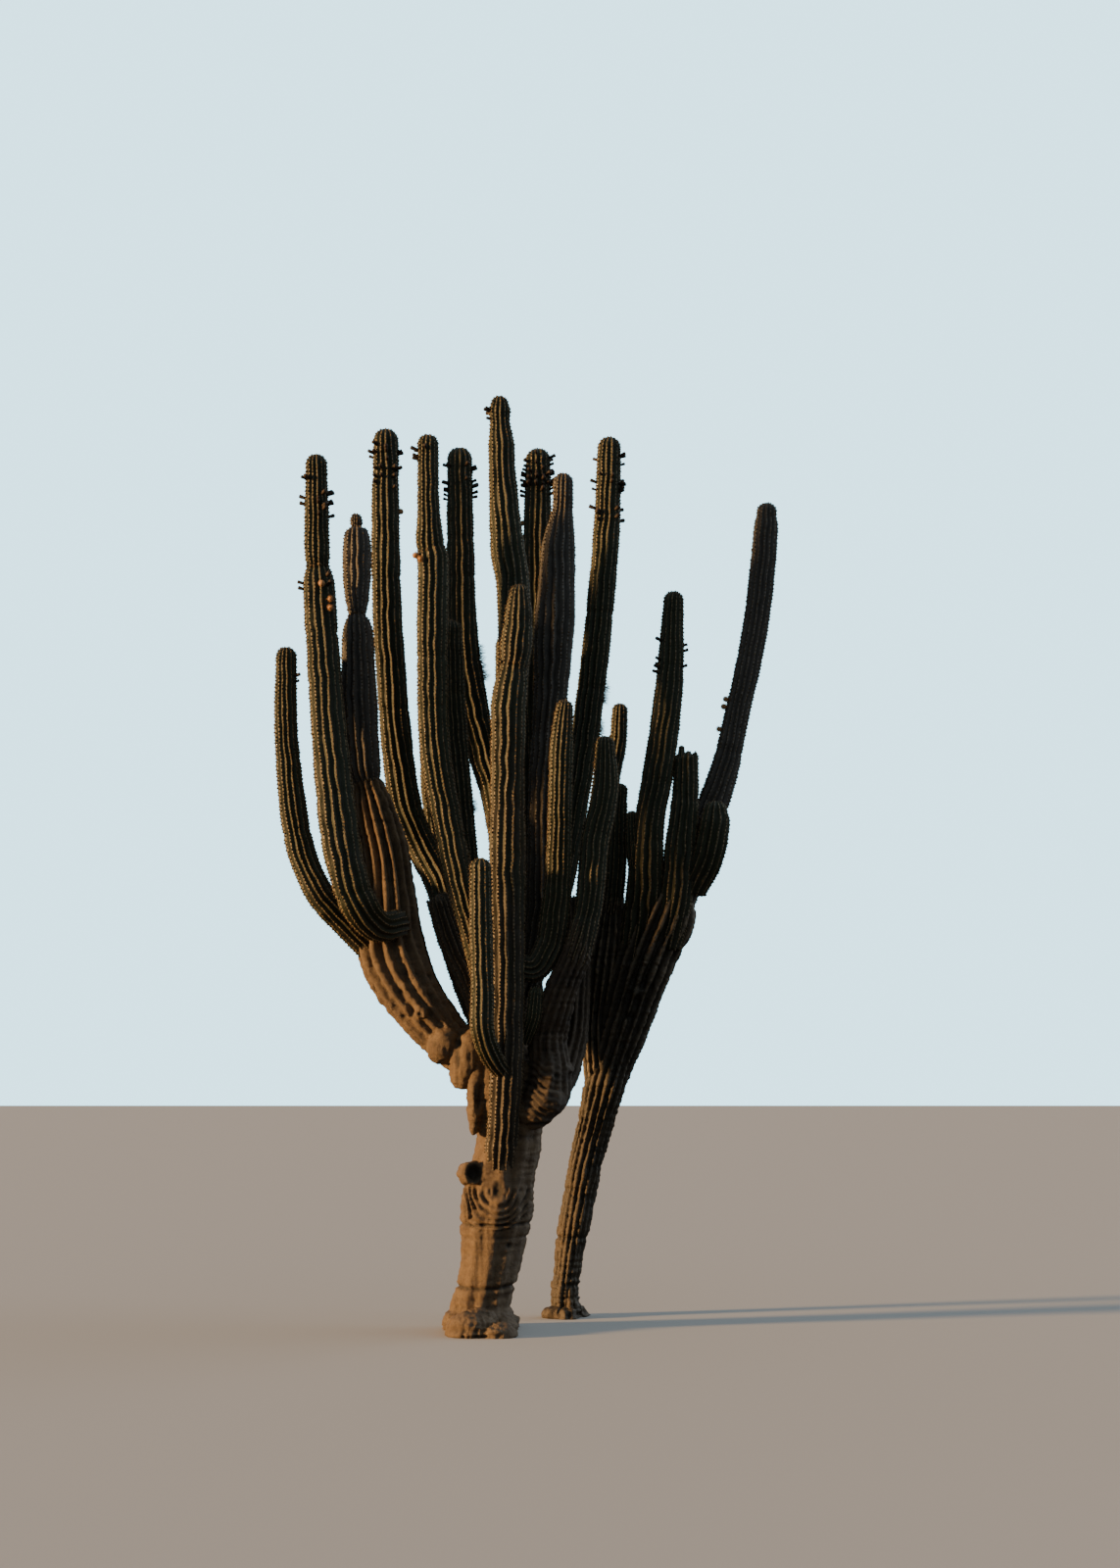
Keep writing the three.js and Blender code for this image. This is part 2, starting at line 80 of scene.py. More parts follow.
# %% Light and floor
FLOOR_SIZE = 160
SUN_DISTANCE = 10
SUN_FROM = Vector((-0.95, -0.28, 0.15))
SUN_STRENGTH = 8.8
SUN_COLOUR = (1.0, 0.58, 0.24)
SUN_SOFTNESS = math.radians(5)
FILL_FROM = Vector((0.85, 0.3, 0.5))
FILL_STRENGTH = 0.9
FILL_COLOUR = (0.82, 0.92, 1.0)
FILL_SOFTNESS = math.radians(60)
BACKDROP_COLOUR = (0.5, 0.85, 1.0, 1)
BACKDROP_STRENGTH = 3.0
AMBIENT_COLOUR = (0.76, 0.9, 1.0, 1)
AMBIENT_STRENGTH = 0.31
FLOOR_SEEN = (0.5, 0.49, 0.47, 1)
FLOOR_THROWN_BACK = (0.04, 0.045, 0.05, 1)


def add_sun(name, origin, strength, colour, softness):
    bpy.ops.object.light_add(type="SUN", location=origin * SUN_DISTANCE)
    sun = bpy.context.object
    sun.name = name
    sun.rotation_euler = (-origin).to_track_quat("-Z", "Y").to_euler()
    sun.data.energy = strength
    sun.data.color = colour
    sun.data.angle = softness


add_sun("key", SUN_FROM, SUN_STRENGTH, SUN_COLOUR, SUN_SOFTNESS)
add_sun("fill", FILL_FROM, FILL_STRENGTH, FILL_COLOUR, FILL_SOFTNESS)

world = bpy.data.worlds.new("pale world")
bpy.context.scene.world = world
world.use_nodes = True
world_nodes, world_links = world.node_tree.nodes, world.node_tree.links
ambient = world_nodes["Background"]
backdrop = world_nodes.new("ShaderNodeBackground")
for light, colour, strength in (
    (ambient, AMBIENT_COLOUR, AMBIENT_STRENGTH),
    (backdrop, BACKDROP_COLOUR, BACKDROP_STRENGTH),
):
    light.inputs["Color"].default_value = colour
    light.inputs["Strength"].default_value = strength
either = world_nodes.new("ShaderNodeMixShader")
seen = world_nodes.new("ShaderNodeLightPath").outputs["Is Camera Ray"]
for source, socket in ((seen, 0), (ambient.outputs[0], 1), (backdrop.outputs[0], 2)):
    world_links.new(source, either.inputs[socket])
world_links.new(either.outputs[0], world_nodes["World Output"].inputs["Surface"])

bpy.ops.mesh.primitive_plane_add(size=FLOOR_SIZE)
floor = bpy.context.object
floor.name = "floor"
print("floor", FLOOR_SIZE, "m wide")

# %% [markdown]
# ## Node groups for skin and bark
# Three effects are used by several materials, so each is built once as a group with
# named sockets. *Mottling* mixes three colours in soft blotches and small flecks.
# *Crest and groove shade* tints the crest of a rib and paints shade into the groove beside
# it, from two values that every stem keeps on its vertices. *Fine relief* is the grain that
# is too small to model. A group gives back colours, masks and normals only.

# %% Helpers for node trees
def wire(tree, source, target):
    tree.links.new(source, target)


def plug(tree, value, socket):
    """Wires another node's socket in, or sets a plain value."""
    if isinstance(value, bpy.types.NodeSocket):
        wire(tree, value, socket)
    else:
        socket.default_value = value


def add_node(tree, kind, **settings):
    node = tree.nodes.new(kind)
    for key, value in settings.items():
        if key in node.inputs:
            node.inputs[key].default_value = value
        else:
            setattr(node, key, value)
    return node


def new_group(name, inputs, outputs):
    tree = bpy.data.node_groups.new(name, "ShaderNodeTree")
    for label, kind, value in inputs:
        socket = tree.interface.new_socket(label, in_out="INPUT", socket_type=kind)
        if value is not None:
            socket.default_value = value
    for label, kind in outputs:
        tree.interface.new_socket(label, in_out="OUTPUT", socket_type=kind)
    return tree, tree.nodes.new("NodeGroupInput"), tree.nodes.new("NodeGroupOutput")


def noise_node(tree, vector, scale, detail=4.0, roughness=0.6):
    made = add_node(tree, "ShaderNodeTexNoise", Detail=detail, Roughness=roughness)
    wire(tree, vector, made.inputs["Vector"])
    plug(tree, scale, made.inputs["Scale"])
    return made.outputs["Fac"]


def attribute_node(tree, name):
    return add_node(tree, "ShaderNodeAttribute", attribute_name=name).outputs["Fac"]


def ramp(tree, source, low, high):
    """Nought below the low value and one above the high one."""
    made = add_node(tree, "ShaderNodeMapRange")
    made.inputs["From Min"].default_value = low
    made.inputs["From Max"].default_value = high
    wire(tree, source, made.inputs["Value"])
    return made.outputs["Result"]


def mix_colour(tree, factor, first, second):
    """The colour sockets of a mix node are its inputs 6 and 7 and its output 2."""
    made = add_node(tree, "ShaderNodeMix", data_type="RGBA")
    for value, number in ((factor, 0), (first, 6), (second, 7)):
        plug(tree, value, made.inputs[number])
    return made.outputs[2]


def maths(tree, operation, first, second):
    made = add_node(tree, "ShaderNodeMath", operation=operation)
    plug(tree, first, made.inputs[0])
    plug(tree, second, made.inputs[1])
    return made.outputs[0]


COLOUR = "NodeSocketColor"
VALUE = "NodeSocketFloat"
VECTOR = "NodeSocketVector"
print("node helpers ready")

# %% Group: mottling
BLOTCH_EDGE = (0.38, 0.62)
FLECK_EDGE = (0.56, 0.7)

mottling, inside, outside = new_group(
    "mottling",
    [
        ("Vector", VECTOR, None),
        ("Base", COLOUR, (0.05, 0.05, 0.02, 1)),
        ("Blotch", COLOUR, (0.1, 0.09, 0.04, 1)),
        ("Fleck", COLOUR, (0.2, 0.17, 0.12, 1)),
        ("Blotch Scale", VALUE, 6.0),
        ("Fleck Scale", VALUE, 60.0),
        ("Fleck Amount", VALUE, 0.5),
    ],
    [("Color", COLOUR)],
)
given = inside.outputs
blotch = noise_node(mottling, given["Vector"], given["Blotch Scale"], 5.0, 0.65)
fleck = noise_node(mottling, given["Vector"], given["Fleck Scale"], 3.0, 0.7)
blotch_mask = ramp(mottling, blotch, *BLOTCH_EDGE)
fleck_mask = ramp(mottling, fleck, *FLECK_EDGE)
fleck_share = maths(mottling, "MULTIPLY", fleck_mask, given["Fleck Amount"])
skin = mix_colour(mottling, blotch_mask, given["Base"], given["Blotch"])
skin = mix_colour(mottling, fleck_share, skin, given["Fleck"])
wire(mottling, skin, outside.inputs["Color"])
print("group", mottling.name)

# %% Group: crest and groove shade
CREST_SHARPNESS = 3.0
KNOB_SCALE = 34.0
KNOB_EDGE = (0.34, 0.58)
# Painted shade: the near black that rib grooves and bark folds are darkened towards.
GROOVE_SHADE = (0.007, 0.007, 0.004, 1)

crest_and_groove_shade, inside, outside = new_group(
    "crest and groove shade",
    [
        ("Vector", VECTOR, None),
        ("Color", COLOUR, (0.1, 0.1, 0.1, 1)),
        ("Crest Color", COLOUR, (0.3, 0.22, 0.13, 1)),
        ("Crest Amount", VALUE, 0.8),
        ("Groove Amount", VALUE, 0.6),
    ],
    [("Color", COLOUR)],
)
lines, given = crest_and_groove_shade, inside.outputs
crest = attribute_node(lines, "crest")
groove = attribute_node(lines, "groove")
knobs = ramp(lines, noise_node(lines, given["Vector"], KNOB_SCALE), *KNOB_EDGE)
thin_crest = maths(lines, "POWER", crest, CREST_SHARPNESS)
crest_mask = maths(lines, "MULTIPLY", thin_crest, knobs)
crest_mask = maths(lines, "MULTIPLY", crest_mask, given["Crest Amount"])
# The groove value and the amount set how much painted shade darkens the groove.
groove_shade_mask = maths(lines, "MULTIPLY", groove, given["Groove Amount"])
tinted = mix_colour(lines, crest_mask, given["Color"], given["Crest Color"])
tinted = mix_colour(lines, groove_shade_mask, tinted, GROOVE_SHADE)
wire(lines, tinted, outside.inputs["Color"])
print("group", crest_and_groove_shade.name)

# %% Group: fine relief
PIT_SHARE = 0.5
RELIEF_STRENGTH = 0.8
RELIEF_DEPTH = 0.006

fine_relief, inside, outside = new_group(
    "fine relief",
    [
        ("Vector", VECTOR, None),
        ("Grain Scale", VALUE, 90.0),
        ("Pit Scale", VALUE, 160.0),
        ("Height", VALUE, 1.0),
    ],
    [("Normal", VECTOR), ("Mask", VALUE)],
)
given = inside.outputs
grain = noise_node(fine_relief, given["Vector"], given["Grain Scale"], 6.0, 0.7)
pits = add_node(fine_relief, "ShaderNodeTexVoronoi")
wire(fine_relief, given["Vector"], pits.inputs["Vector"])
wire(fine_relief, given["Pit Scale"], pits.inputs["Scale"])
pit_height = maths(fine_relief, "MULTIPLY", pits.outputs["Distance"], PIT_SHARE)
total_height = maths(fine_relief, "ADD", grain, pit_height)
total_height = maths(fine_relief, "MULTIPLY", total_height, given["Height"])
bump = add_node(fine_relief, "ShaderNodeBump", Strength=RELIEF_STRENGTH, Distance=RELIEF_DEPTH)
wire(fine_relief, total_height, bump.inputs["Height"])
wire(fine_relief, bump.outputs["Normal"], outside.inputs["Normal"])
wire(fine_relief, grain, outside.inputs["Mask"])
print("group", fine_relief.name)

# %% [markdown]
# ## Skins and bark
# A green arm is olive with a tan line of wool and spines along each crest, and it turns
# corky and grey-brown towards its foot. Old boughs have lost the green. The bark of the
# trunk is pale tan and wrinkled, with shade painted into its folds. The grooves between
# the ribs of the arms get painted shade as well. One function makes all four from their
# own colours, because they are stages of the same skin.

# %% Skin materials
SKIN_ROUGHNESS = (-0.9, 1.6)
FRESH_BLOTCHES = 5.0
CORKY_BLOTCHES = 9.0
AGE_SCALE = 7.0
AGE_EDGE = (0.25, 0.75)


def add_group(tree, group, vector, **values):
    """Places a node group. Its values are named like its sockets."""
    node = tree.nodes.new("ShaderNodeGroup")
    node.node_tree = group
    wire(tree, vector, node.inputs["Vector"])
    for key, value in values.items():
        node.inputs[key.replace("_", " ")].default_value = value
    return node


def mottled(tree, vector, colours, **scales):
    base, blotch, fleck = colours
    node = add_group(tree, mottling, vector, Base=base, Blotch=blotch, Fleck=fleck, **scales)
    return node.outputs["Color"]


def start_material(name, roughness=0.7):
    material = bpy.data.materials.new(name)
    material.use_nodes = True
    tree = material.node_tree
    shader = tree.nodes["Principled BSDF"]
    shader.inputs["Roughness"].default_value = roughness
    place = tree.nodes.new("ShaderNodeTexCoord").outputs["Object"]
    return material, tree, shader, place


def stretched(tree, vector, scale):
    mapping = tree.nodes.new("ShaderNodeMapping")
    mapping.inputs["Scale"].default_value = scale
    wire(tree, vector, mapping.inputs["Vector"])
    return mapping.outputs["Vector"]


def skin_material(name, young, old, crest_colour, crest_amount, groove_shade_amount, stretch, height):
    """Young and old are (base, blotch, fleck) colours, and age blends them."""
    material, tree, shader, place = start_material(name)
    pattern = stretched(tree, place, stretch)
    fresh = mottled(tree, pattern, young, Blotch_Scale=FRESH_BLOTCHES)
    corky = mottled(tree, pattern, old, Blotch_Scale=CORKY_BLOTCHES)
    drift = maths(tree, "SUBTRACT", noise_node(tree, pattern, AGE_SCALE), 0.5)
    uneven = maths(tree, "ADD", attribute_node(tree, "age"), drift)
    colour = mix_colour(tree, ramp(tree, uneven, *AGE_EDGE), fresh, corky)
    lines = add_group(
        tree,
        crest_and_groove_shade,
        place,
        Crest_Color=crest_colour,
        Crest_Amount=crest_amount,
        Groove_Amount=groove_shade_amount,
    )
    wire(tree, colour, lines.inputs["Color"])
    relief = add_group(tree, fine_relief, pattern, Height=height)
    wire(tree, lines.outputs["Color"], shader.inputs["Base Color"])
    wire(tree, ramp(tree, relief.outputs["Mask"], *SKIN_ROUGHNESS), shader.inputs["Roughness"])
    wire(tree, relief.outputs["Normal"], shader.inputs["Normal"])
    return material


OLIVE = ((0.018, 0.026, 0.008, 1), (0.028, 0.037, 0.012, 1), (0.057, 0.061, 0.026, 1))
CORKY = ((0.037, 0.03, 0.018, 1), (0.056, 0.043, 0.026, 1), (0.1, 0.077, 0.047, 1))
TAWNY = ((0.07, 0.046, 0.023, 1), (0.105, 0.069, 0.034, 1), (0.17, 0.118, 0.064, 1))
ASHEN = ((0.058, 0.054, 0.047, 1), (0.092, 0.084, 0.073, 1), (0.19, 0.172, 0.15, 1))
PALE_BARK = ((0.115, 0.073, 0.037, 1), (0.17, 0.112, 0.057, 1), (0.26, 0.18, 0.1, 1))
DARK_BARK = ((0.045, 0.03, 0.017, 1), (0.075, 0.05, 0.027, 1), (0.12, 0.083, 0.048, 1))
CREST_TAN = (0.62, 0.45, 0.26, 1)
CREST_GREY = (0.56, 0.5, 0.41, 1)

# Colours when young and when old, crest colour, amounts of crest and of painted groove
# shade, stretch of the pattern along x, y and z, and height of the relief.
SKINS = {
    "green_skin": skin_material("green skin", OLIVE, CORKY, CREST_TAN, 1.0, 0.75, (1, 1, 0.45), 0.7),
    "old_skin": skin_material("old skin", CORKY, TAWNY, CREST_TAN, 0.7, 0.7, (1, 1, 0.8), 1.0),
    "grey_skin": skin_material("grey skin", ASHEN, CORKY, CREST_GREY, 0.7, 0.75, (1, 1, 0.6), 1.0),
    "bark": skin_material("bark", DARK_BARK, PALE_BARK, CREST_TAN, 0.35, 0.8, (0.8, 0.8, 1.6), 1.6),
}
print("skins", sorted(SKINS))

# %% [markdown]
# ## Small finishes
# Wool is tan with dark patches, spines are a dull grey-brown, buds are dark brown, and
# the ripe fruits and their bristles are golden. Each still varies from place to place,
# so that a crowd of copies doesn't look stamped.

# %% Small materials
FLECKS_PER_PATCH = 5
SMALL_RELIEF = {"Grain_Scale": 300.0, "Pit_Scale": 400.0, "Height": 0.3}


def speckled_material(name, scale, roughness, *colours):
    material, tree, shader, place = start_material(name, roughness)
    speckles = {"Blotch_Scale": scale, "Fleck_Scale": scale * FLECKS_PER_PATCH}
    wire(tree, mottled(tree, place, colours, **speckles), shader.inputs["Base Color"])
    relief = add_group(tree, fine_relief, place, **SMALL_RELIEF)
    wire(tree, relief.outputs["Normal"], shader.inputs["Normal"])
    return material


WOOL = speckled_material(
    "areole wool", 32.0, 0.95, (0.03, 0.022, 0.013, 1), (0.2, 0.14, 0.075, 1), (0.62, 0.46, 0.28, 1)
)
SPINE = speckled_material(
    "spine", 20.0, 0.6, (0.16, 0.12, 0.08, 1), (0.08, 0.055, 0.035, 1), (0.32, 0.24, 0.15, 1)
)
BUD = speckled_material(
    "bud", 22.0, 0.7, (0.022, 0.016, 0.011, 1), (0.042, 0.024, 0.015, 1), (0.12, 0.06, 0.035, 1)
)
FRUIT = speckled_material(
    "fruit", 30.0, 0.8, (0.42, 0.22, 0.08, 1), (0.5, 0.27, 0.13, 1), (0.68, 0.45, 0.22, 1)
)

floor_material, tree, shader, _ = start_material("pale floor", 0.9)
seen = tree.nodes.new("ShaderNodeLightPath").outputs["Is Camera Ray"]
wire(tree, mix_colour(tree, seen, FLOOR_THROWN_BACK, FLOOR_SEEN), shader.inputs["Base Color"])
floor.data.materials.append(floor_material)
print("small finishes", WOOL.name, SPINE.name, BUD.name, FRUIT.name)

# %% [markdown]
# ## The limbs
# Each limb is written down once, as rows of a centre line: x, y, z in millimetres and the
# radius over its ribs. They keep close to the rows of the solids and add some at waists
# and tips, so that a stem fills the solid it stands for. A limb that was split at its
# bend there is one stem here.

# %% Limb rows: trunk, boughs and second stem
BARK_LOBES = 11
ARM_RIBS = 14
SLIM_RIBS = 12
SECOND_RIBS = 16

TRUNK = [
    (-40, 0, -80, 250), (-35, 0, 40, 240), (-40, 0, 160, 208), (-10, 0, 300, 203),
    (30, 0, 540, 213), (70, 0, 800, 246), (90, 0, 950, 238), (110, 0, 1100, 226),
    (150, 10, 1320, 220), (155, 20, 1580, 258), (130, 50, 1800, 275), (110, 70, 2060, 205),
]
TRUNK_BEHIND = [
    (540, 800, -80, 130), (545, 800, 60, 112), (550, 800, 200, 96), (680, 800, 1030, 122),
    (860, 800, 1750, 148), (990, 780, 2180, 185), (1120, 750, 2580, 212),
    (1270, 720, 2940, 226), (1370, 700, 3250, 150),
]
BOUGH_LEFT = [
    (60, 20, 1760, 180), (-290, 40, 2050, 165), (-530, 70, 2350, 212), (-665, 100, 2650, 238),
    (-675, 100, 2950, 182), (-705, 100, 3280, 160), (-790, 100, 3640, 138), (-850, 102, 3860, 98),
]
BOUGH_RIGHT = [
    (200, -40, 1560, 130), (390, -110, 1640, 176), (440, -140, 1800, 150), (425, -150, 2020, 128),
    (510, -200, 2330, 108), (620, -220, 2600, 95), (690, -220, 2860, 80),
]
BOUGH_BACK_RIGHT = [
    (170, 100, 1500, 140), (430, 280, 1700, 150), (560, 400, 1980, 135), (600, 480, 2300, 125),
    (612, 560, 2650, 115), (600, 620, 3060, 84),
]
BOUGH_SECOND_LEFT = [
    (860, 800, 1480, 80), (800, 795, 1850, 112), (780, 790, 2150, 104), (820, 780, 2500, 118),
    (860, 765, 2850, 112), (890, 750, 3120, 90),
]
BOUGH_BACK = [
    (130, 90, 1720, 190), (155, 270, 1990, 186), (190, 430, 2240, 174), (225, 560, 2460, 160),
    (245, 640, 2680, 120),
]
print("trunk rows", len(TRUNK), "and", len(TRUNK_BEHIND))

# %% Limb rows: front and left arms
GREEN, OLD, GREY = "green_skin", "old_skin", "grey_skin"
LIMBS = {}


def limb(name, skin, rows, nodes=None, ribs=ARM_RIBS, snapped=False, age=(0.45, 0.0), buds=()):
    """Age goes from foot to tip. Buds are (millimetres below the tip, how many round it)."""
    LIMBS[name] = {
        "skin": skin, "rows": rows, "nodes": [name] if nodes is None else nodes, "ribs": ribs,
        "snapped": snapped, "age": age, "buds": buds,
    }


limb("arm_centre_front", GREEN, [
    (95, -95, 1060, 105), (105, -140, 1250, 116), (125, -195, 1450, 112), (145, -250, 1860, 115),
    (150, -250, 3380, 126), (150, -250, 3720, 116), (160, -250, 4330, 120), (180, -245, 4480, 112),
    (195, -240, 4590, 95), (210, -240, 4720, 109), (228, -240, 4960, 92), (234, -240, 5140, 64),
], age=(1.0, 0.35))
limb("arm_centre_tall", GREEN, [
    (175, -130, 4200, 70), (185, -40, 4420, 100), (188, 90, 4992, 116), (176, 100, 5246, 117),
    (139, 100, 5497, 120), (108, 100, 5948, 96), (98, 100, 6200, 92), (88, 100, 6351, 71),
    (86, 100, 6441, 76), (84, 100, 6536, 62),
], age=(0.5, 0.0), buds=((90, 4),))
limb("arm_front_short", GREEN, [
    (130, -270, 1790, 62), (42, -420, 1920, 76), (-12, -490, 2079, 80), (-14, -500, 2297, 79),
    (-16, -500, 2525, 74), (-21, -500, 2734, 79), (-24, -500, 2933, 74), (-26, -500, 3241, 72),
], ["arm_front_short_elbow", "arm_front_short"], SLIM_RIBS)
limb("pup_front", GREEN, [
    (270, -190, 2000, 44), (325, -255, 2160, 54), (352, -265, 2380, 50),
], ribs=SLIM_RIBS)
limb("arm_far_left", GREEN, [
    (-800, 50, 2650, 100), (-1010, -40, 2870, 100), (-1150, -95, 3030, 101), (-1258, -80, 3253, 96),
    (-1317, -70, 3474, 98), (-1360, -70, 3795, 88), (-1390, -70, 4206, 80), (-1387, -70, 4743, 70),
], ["arm_far_left_elbow", "arm_far_left"], buds=((190, 1),))
limb("arm_left", GREEN, [
    (-600, -20, 2830, 100), (-752, -190, 2808, 112), (-869, -310, 2953, 125), (-948, -340, 3197, 127),
    (-1004, -310, 3506, 132), (-1074, -220, 4115, 122), (-1136, -120, 4825, 112),
    (-1159, -100, 5187, 109), (-1165, -100, 5262, 90), (-1167, -100, 5297, 76),
    (-1168, -105, 5338, 85), (-1170, -120, 5500, 86), (-1170, -160, 6056, 73),
], ["arm_left_elbow", "arm_left"], buds=((150, 2), (300, 3), (850, 4)))
limb("arm_left_jointed", GREY, [
    (-842, 96, 3790, 58), (-850, 98, 3835, 96), (-862, 100, 3905, 114), (-872, 100, 3990, 119),
    (-895, 100, 4330, 127), (-905, 100, 4700, 117), (-908, 100, 4880, 106), (-910, 100, 4955, 86),
    (-913, 110, 4997, 58), (-914, 120, 5039, 68), (-917, 145, 5120, 84), (-922, 190, 5270, 98),
    (-926, 230, 5450, 101), (-930, 250, 5576, 93), (-931, 255, 5630, 79), (-933, 257, 5651, 37),
    (-933, 258, 5679, 41), (-934, 259, 5708, 45), (-935, 260, 5752, 38),
], age=(0.4, 0.1))
limb("arm_back_left", GREEN, [
    (70, 120, 1930, 118), (-70, 270, 2260, 116), (-170, 370, 2500, 113), (-260, 460, 2810, 112),
    (-355, 600, 3160, 114), (-485, 680, 3410, 115), (-605, 700, 3690, 118), (-735, 700, 4900, 108),
    (-760, 700, 5600, 104), (-760, 700, 6480, 92),
], ["bough_back_left", "arm_back_left"], buds=((160, 4), (330, 3)))
limb("stub_left", OLD, [
    (30, 50, 2020, 90), (-120, 90, 2420, 94), (-255, 125, 2720, 93), (-350, 140, 3020, 84),
], snapped=True, age=(1.0, 0.4))
limb("arm_mid_left", GREEN, [
    (80, -50, 2000, 88), (15, -110, 2370, 97), (-60, -180, 2700, 102), (-172, -200, 3093, 104),
    (-273, -190, 3546, 105), (-348, -200, 4018, 104), (-367, -200, 4610, 106),
    (-363, -200, 5251, 107), (-369, -205, 5355, 107), (-377, -210, 5398, 93), (-384, -220, 5447, 96),
    (-390, -250, 5640, 77), (-395, -250, 6165, 70),
], buds=((110, 3), (790, 1)))
limb("arm_mid_left_behind", GREEN, [
    (-60, 260, 2300, 78), (-70, 320, 2600, 86), (-120, 375, 2940, 90), (-175, 400, 3440, 91),
    (-240, 400, 4200, 90), (-270, 400, 5025, 78),
])
limb("arm_behind_left", GREEN, [
    (205, 490, 2420, 86), (185, 560, 2780, 102), (135, 650, 3240, 110), (45, 800, 3800, 112),
    (-60, 850, 4170, 115), (-140, 850, 4530, 117), (-204, 850, 5000, 111), (-230, 850, 6385, 92),
], buds=((130, 4), (290, 4)))
print("limbs so far", len(LIMBS))

# %% Limb rows: right arms and the far side
limb("arm_behind_centre", GREEN, [
    (240, 590, 2500, 84), (320, 780, 2860, 104), (352, 950, 3300, 112), (342, 1000, 3900, 113),
    (340, 1000, 5200, 113), (348, 1000, 6420, 94),
], buds=((100, 5), (190, 5), (280, 5)))
limb("arm_grey_top", GREY, [
    (215, 380, 2240, 88), (320, 370, 2600, 104), (372, 390, 2940, 112), (400, 430, 3860, 116),
    (438, 450, 4460, 122), (470, 450, 4990, 144), (488, 450, 5270, 132), (502, 450, 5590, 116),
    (528, 450, 5820, 78), (534, 450, 6090, 70),
], age=(0.9, 0.0))
limb("arm_behind_right", GREEN, [
    (250, 540, 2420, 84), (400, 570, 2800, 98), (510, 620, 3170, 103), (610, 710, 3760, 104),
    (700, 750, 4300, 103), (842, 750, 5620, 98), (872, 750, 6435, 86),
], buds=((140, 4), (330, 4), (560, 3)))
limb("arm_right_hooked", GREEN, [
    (190, -190, 2540, 84), (336, -190, 2515, 95), (438, -190, 2670, 99), (478, -220, 2908, 98),
    (500, -290, 3230, 86), (510, -360, 3562, 81), (522, -385, 4030, 77), (545, -385, 4325, 56),
], ["arm_right_hooked_elbow", "arm_right_hooked"])
limb("arm_right_front", GREEN, [
    (560, -215, 2450, 62), (620, -220, 2600, 95), (700, -220, 2900, 95), (728, -220, 3140, 96),
    (752, -220, 3390, 97), (800, -220, 3600, 93), (824, -220, 3800, 88), (820, -220, 4105, 64),
])
limb("arm_right_upright", GREEN, [
    (1010, 770, 2380, 110), (1075, 720, 2700, 134), (1120, 640, 3050, 136), (1138, 565, 3400, 122),
    (1160, 550, 3640, 107), (1212, 550, 3920, 110), (1298, 550, 4580, 101), (1334, 550, 5265, 72),
], buds=((380, 2), (520, 2)))
limb("arm_far_right", GREY, [
    (1290, 710, 2900, 150), (1400, 700, 3160, 142), (1512, 720, 3420, 128), (1630, 750, 3760, 117),
    (1722, 750, 4040, 104), (1790, 750, 4340, 93), (1940, 750, 5050, 93), (2014, 750, 5730, 92),
    (2024, 750, 5955, 72),
], ["bough_far_right", "arm_far_right"])
limb("arm_right_broken", GREEN, [
    (1290, 650, 2700, 100), (1345, 600, 3000, 116), (1383, 570, 3430, 115), (1415, 570, 3760, 98),
    (1424, 570, 4085, 88),
], snapped=True)
limb("pup_on_broken", GREEN, [
    (1385, 565, 4040, 18), (1387, 565, 4090, 26), (1389, 565, 4155, 22),
], nodes=[], ribs=8)
limb("arm_right_short", GREEN, [
    (1475, 630, 3110, 100), (1580, 540, 3350, 112), (1628, 500, 3590, 108), (1630, 500, 3745, 88),
], ribs=SLIM_RIBS)
limb("arm_slim_right", GREEN, [
    (870, 770, 2900, 70), (860, 880, 3180, 68), (850, 990, 3560, 63), (895, 1000, 3980, 62),
    (940, 1000, 4240, 65), (958, 1000, 4530, 57),
], ribs=SLIM_RIBS)
limb("arm_slim_low", GREEN, [
    (885, 745, 2960, 72), (915, 710, 3180, 72), (930, 700, 3450, 68), (948, 700, 3900, 56),
], ribs=SLIM_RIBS)
limb("stub_right", GREEN, [
    (1200, 690, 2860, 66), (1090, 610, 3170, 64), (1042, 560, 3450, 57), (1030, 550, 3680, 42),
], ribs=SLIM_RIBS)
limb("arm_back_centre", GREEN, [
    (190, 460, 2300, 88), (160, 860, 2560, 100), (122, 1190, 3100, 104), (115, 1290, 3800, 104),
    (115, 1300, 5100, 90),
])
limb("arm_back_right", GREEN, [
    (220, 500, 2340, 84), (360, 900, 2640, 94), (450, 1250, 3160, 97), (470, 1390, 3900, 97),
    (470, 1400, 5200, 84),
])
limb("arm_back_mid", GREEN, [
    (-90, 300, 2340, 82), (-180, 680, 2580, 94), (-310, 1020, 3000, 96), (-410, 1200, 3600, 96),
    (-455, 1250, 4200, 95), (-460, 1250, 5000, 84),
])
limb("arm_back_far_left", GREEN, [
    (-690, 130, 2950, 84), (-800, 460, 3160, 87), (-925, 790, 3600, 87), (-965, 890, 4200, 86),
    (-965, 900, 4830, 72),
])
limb("arm_back_far_right", GREEN, [
    (1220, 820, 2760, 84), (1200, 1240, 3200, 84), (1225, 1470, 3700, 83), (1320, 1500, 4400, 68),
])
print("limbs", len(LIMBS))

# %% [markdown]
# ## A ribbed stem
# A stem is a star-shaped outline drawn along a centre line, which is what a curve with a
# bevel object does. The centre line passes smoothly through the rows, each point carries
# its own radius, and small tilts let the ribs wander. The last points follow a dome, so
# that the ribs run together at the growing tip. Turned into a mesh, the rings keep their
# order, which is how each vertex knows its rib and its place along the stem.

# %% Centre lines
RING_STEP = 0.02
DOME_RINGS = 8
DOME_SHARE = 0.95
SNAPPED_SHARE = 0.25
FOOT_LENGTH = 0.004
SAMPLES_PER_RIB = 6


def hermite(start, end, leave, arrive, w):
    """A smooth curve between two rows that leaves and arrives with the given slopes."""
    w = np.asarray(w)[:, None]
    cubic = 2 * start - 2 * end + leave + arrive
    square = -3 * start + 3 * end - 2 * leave - arrive
    return start + leave * w + square * w**2 + cubic * w**3


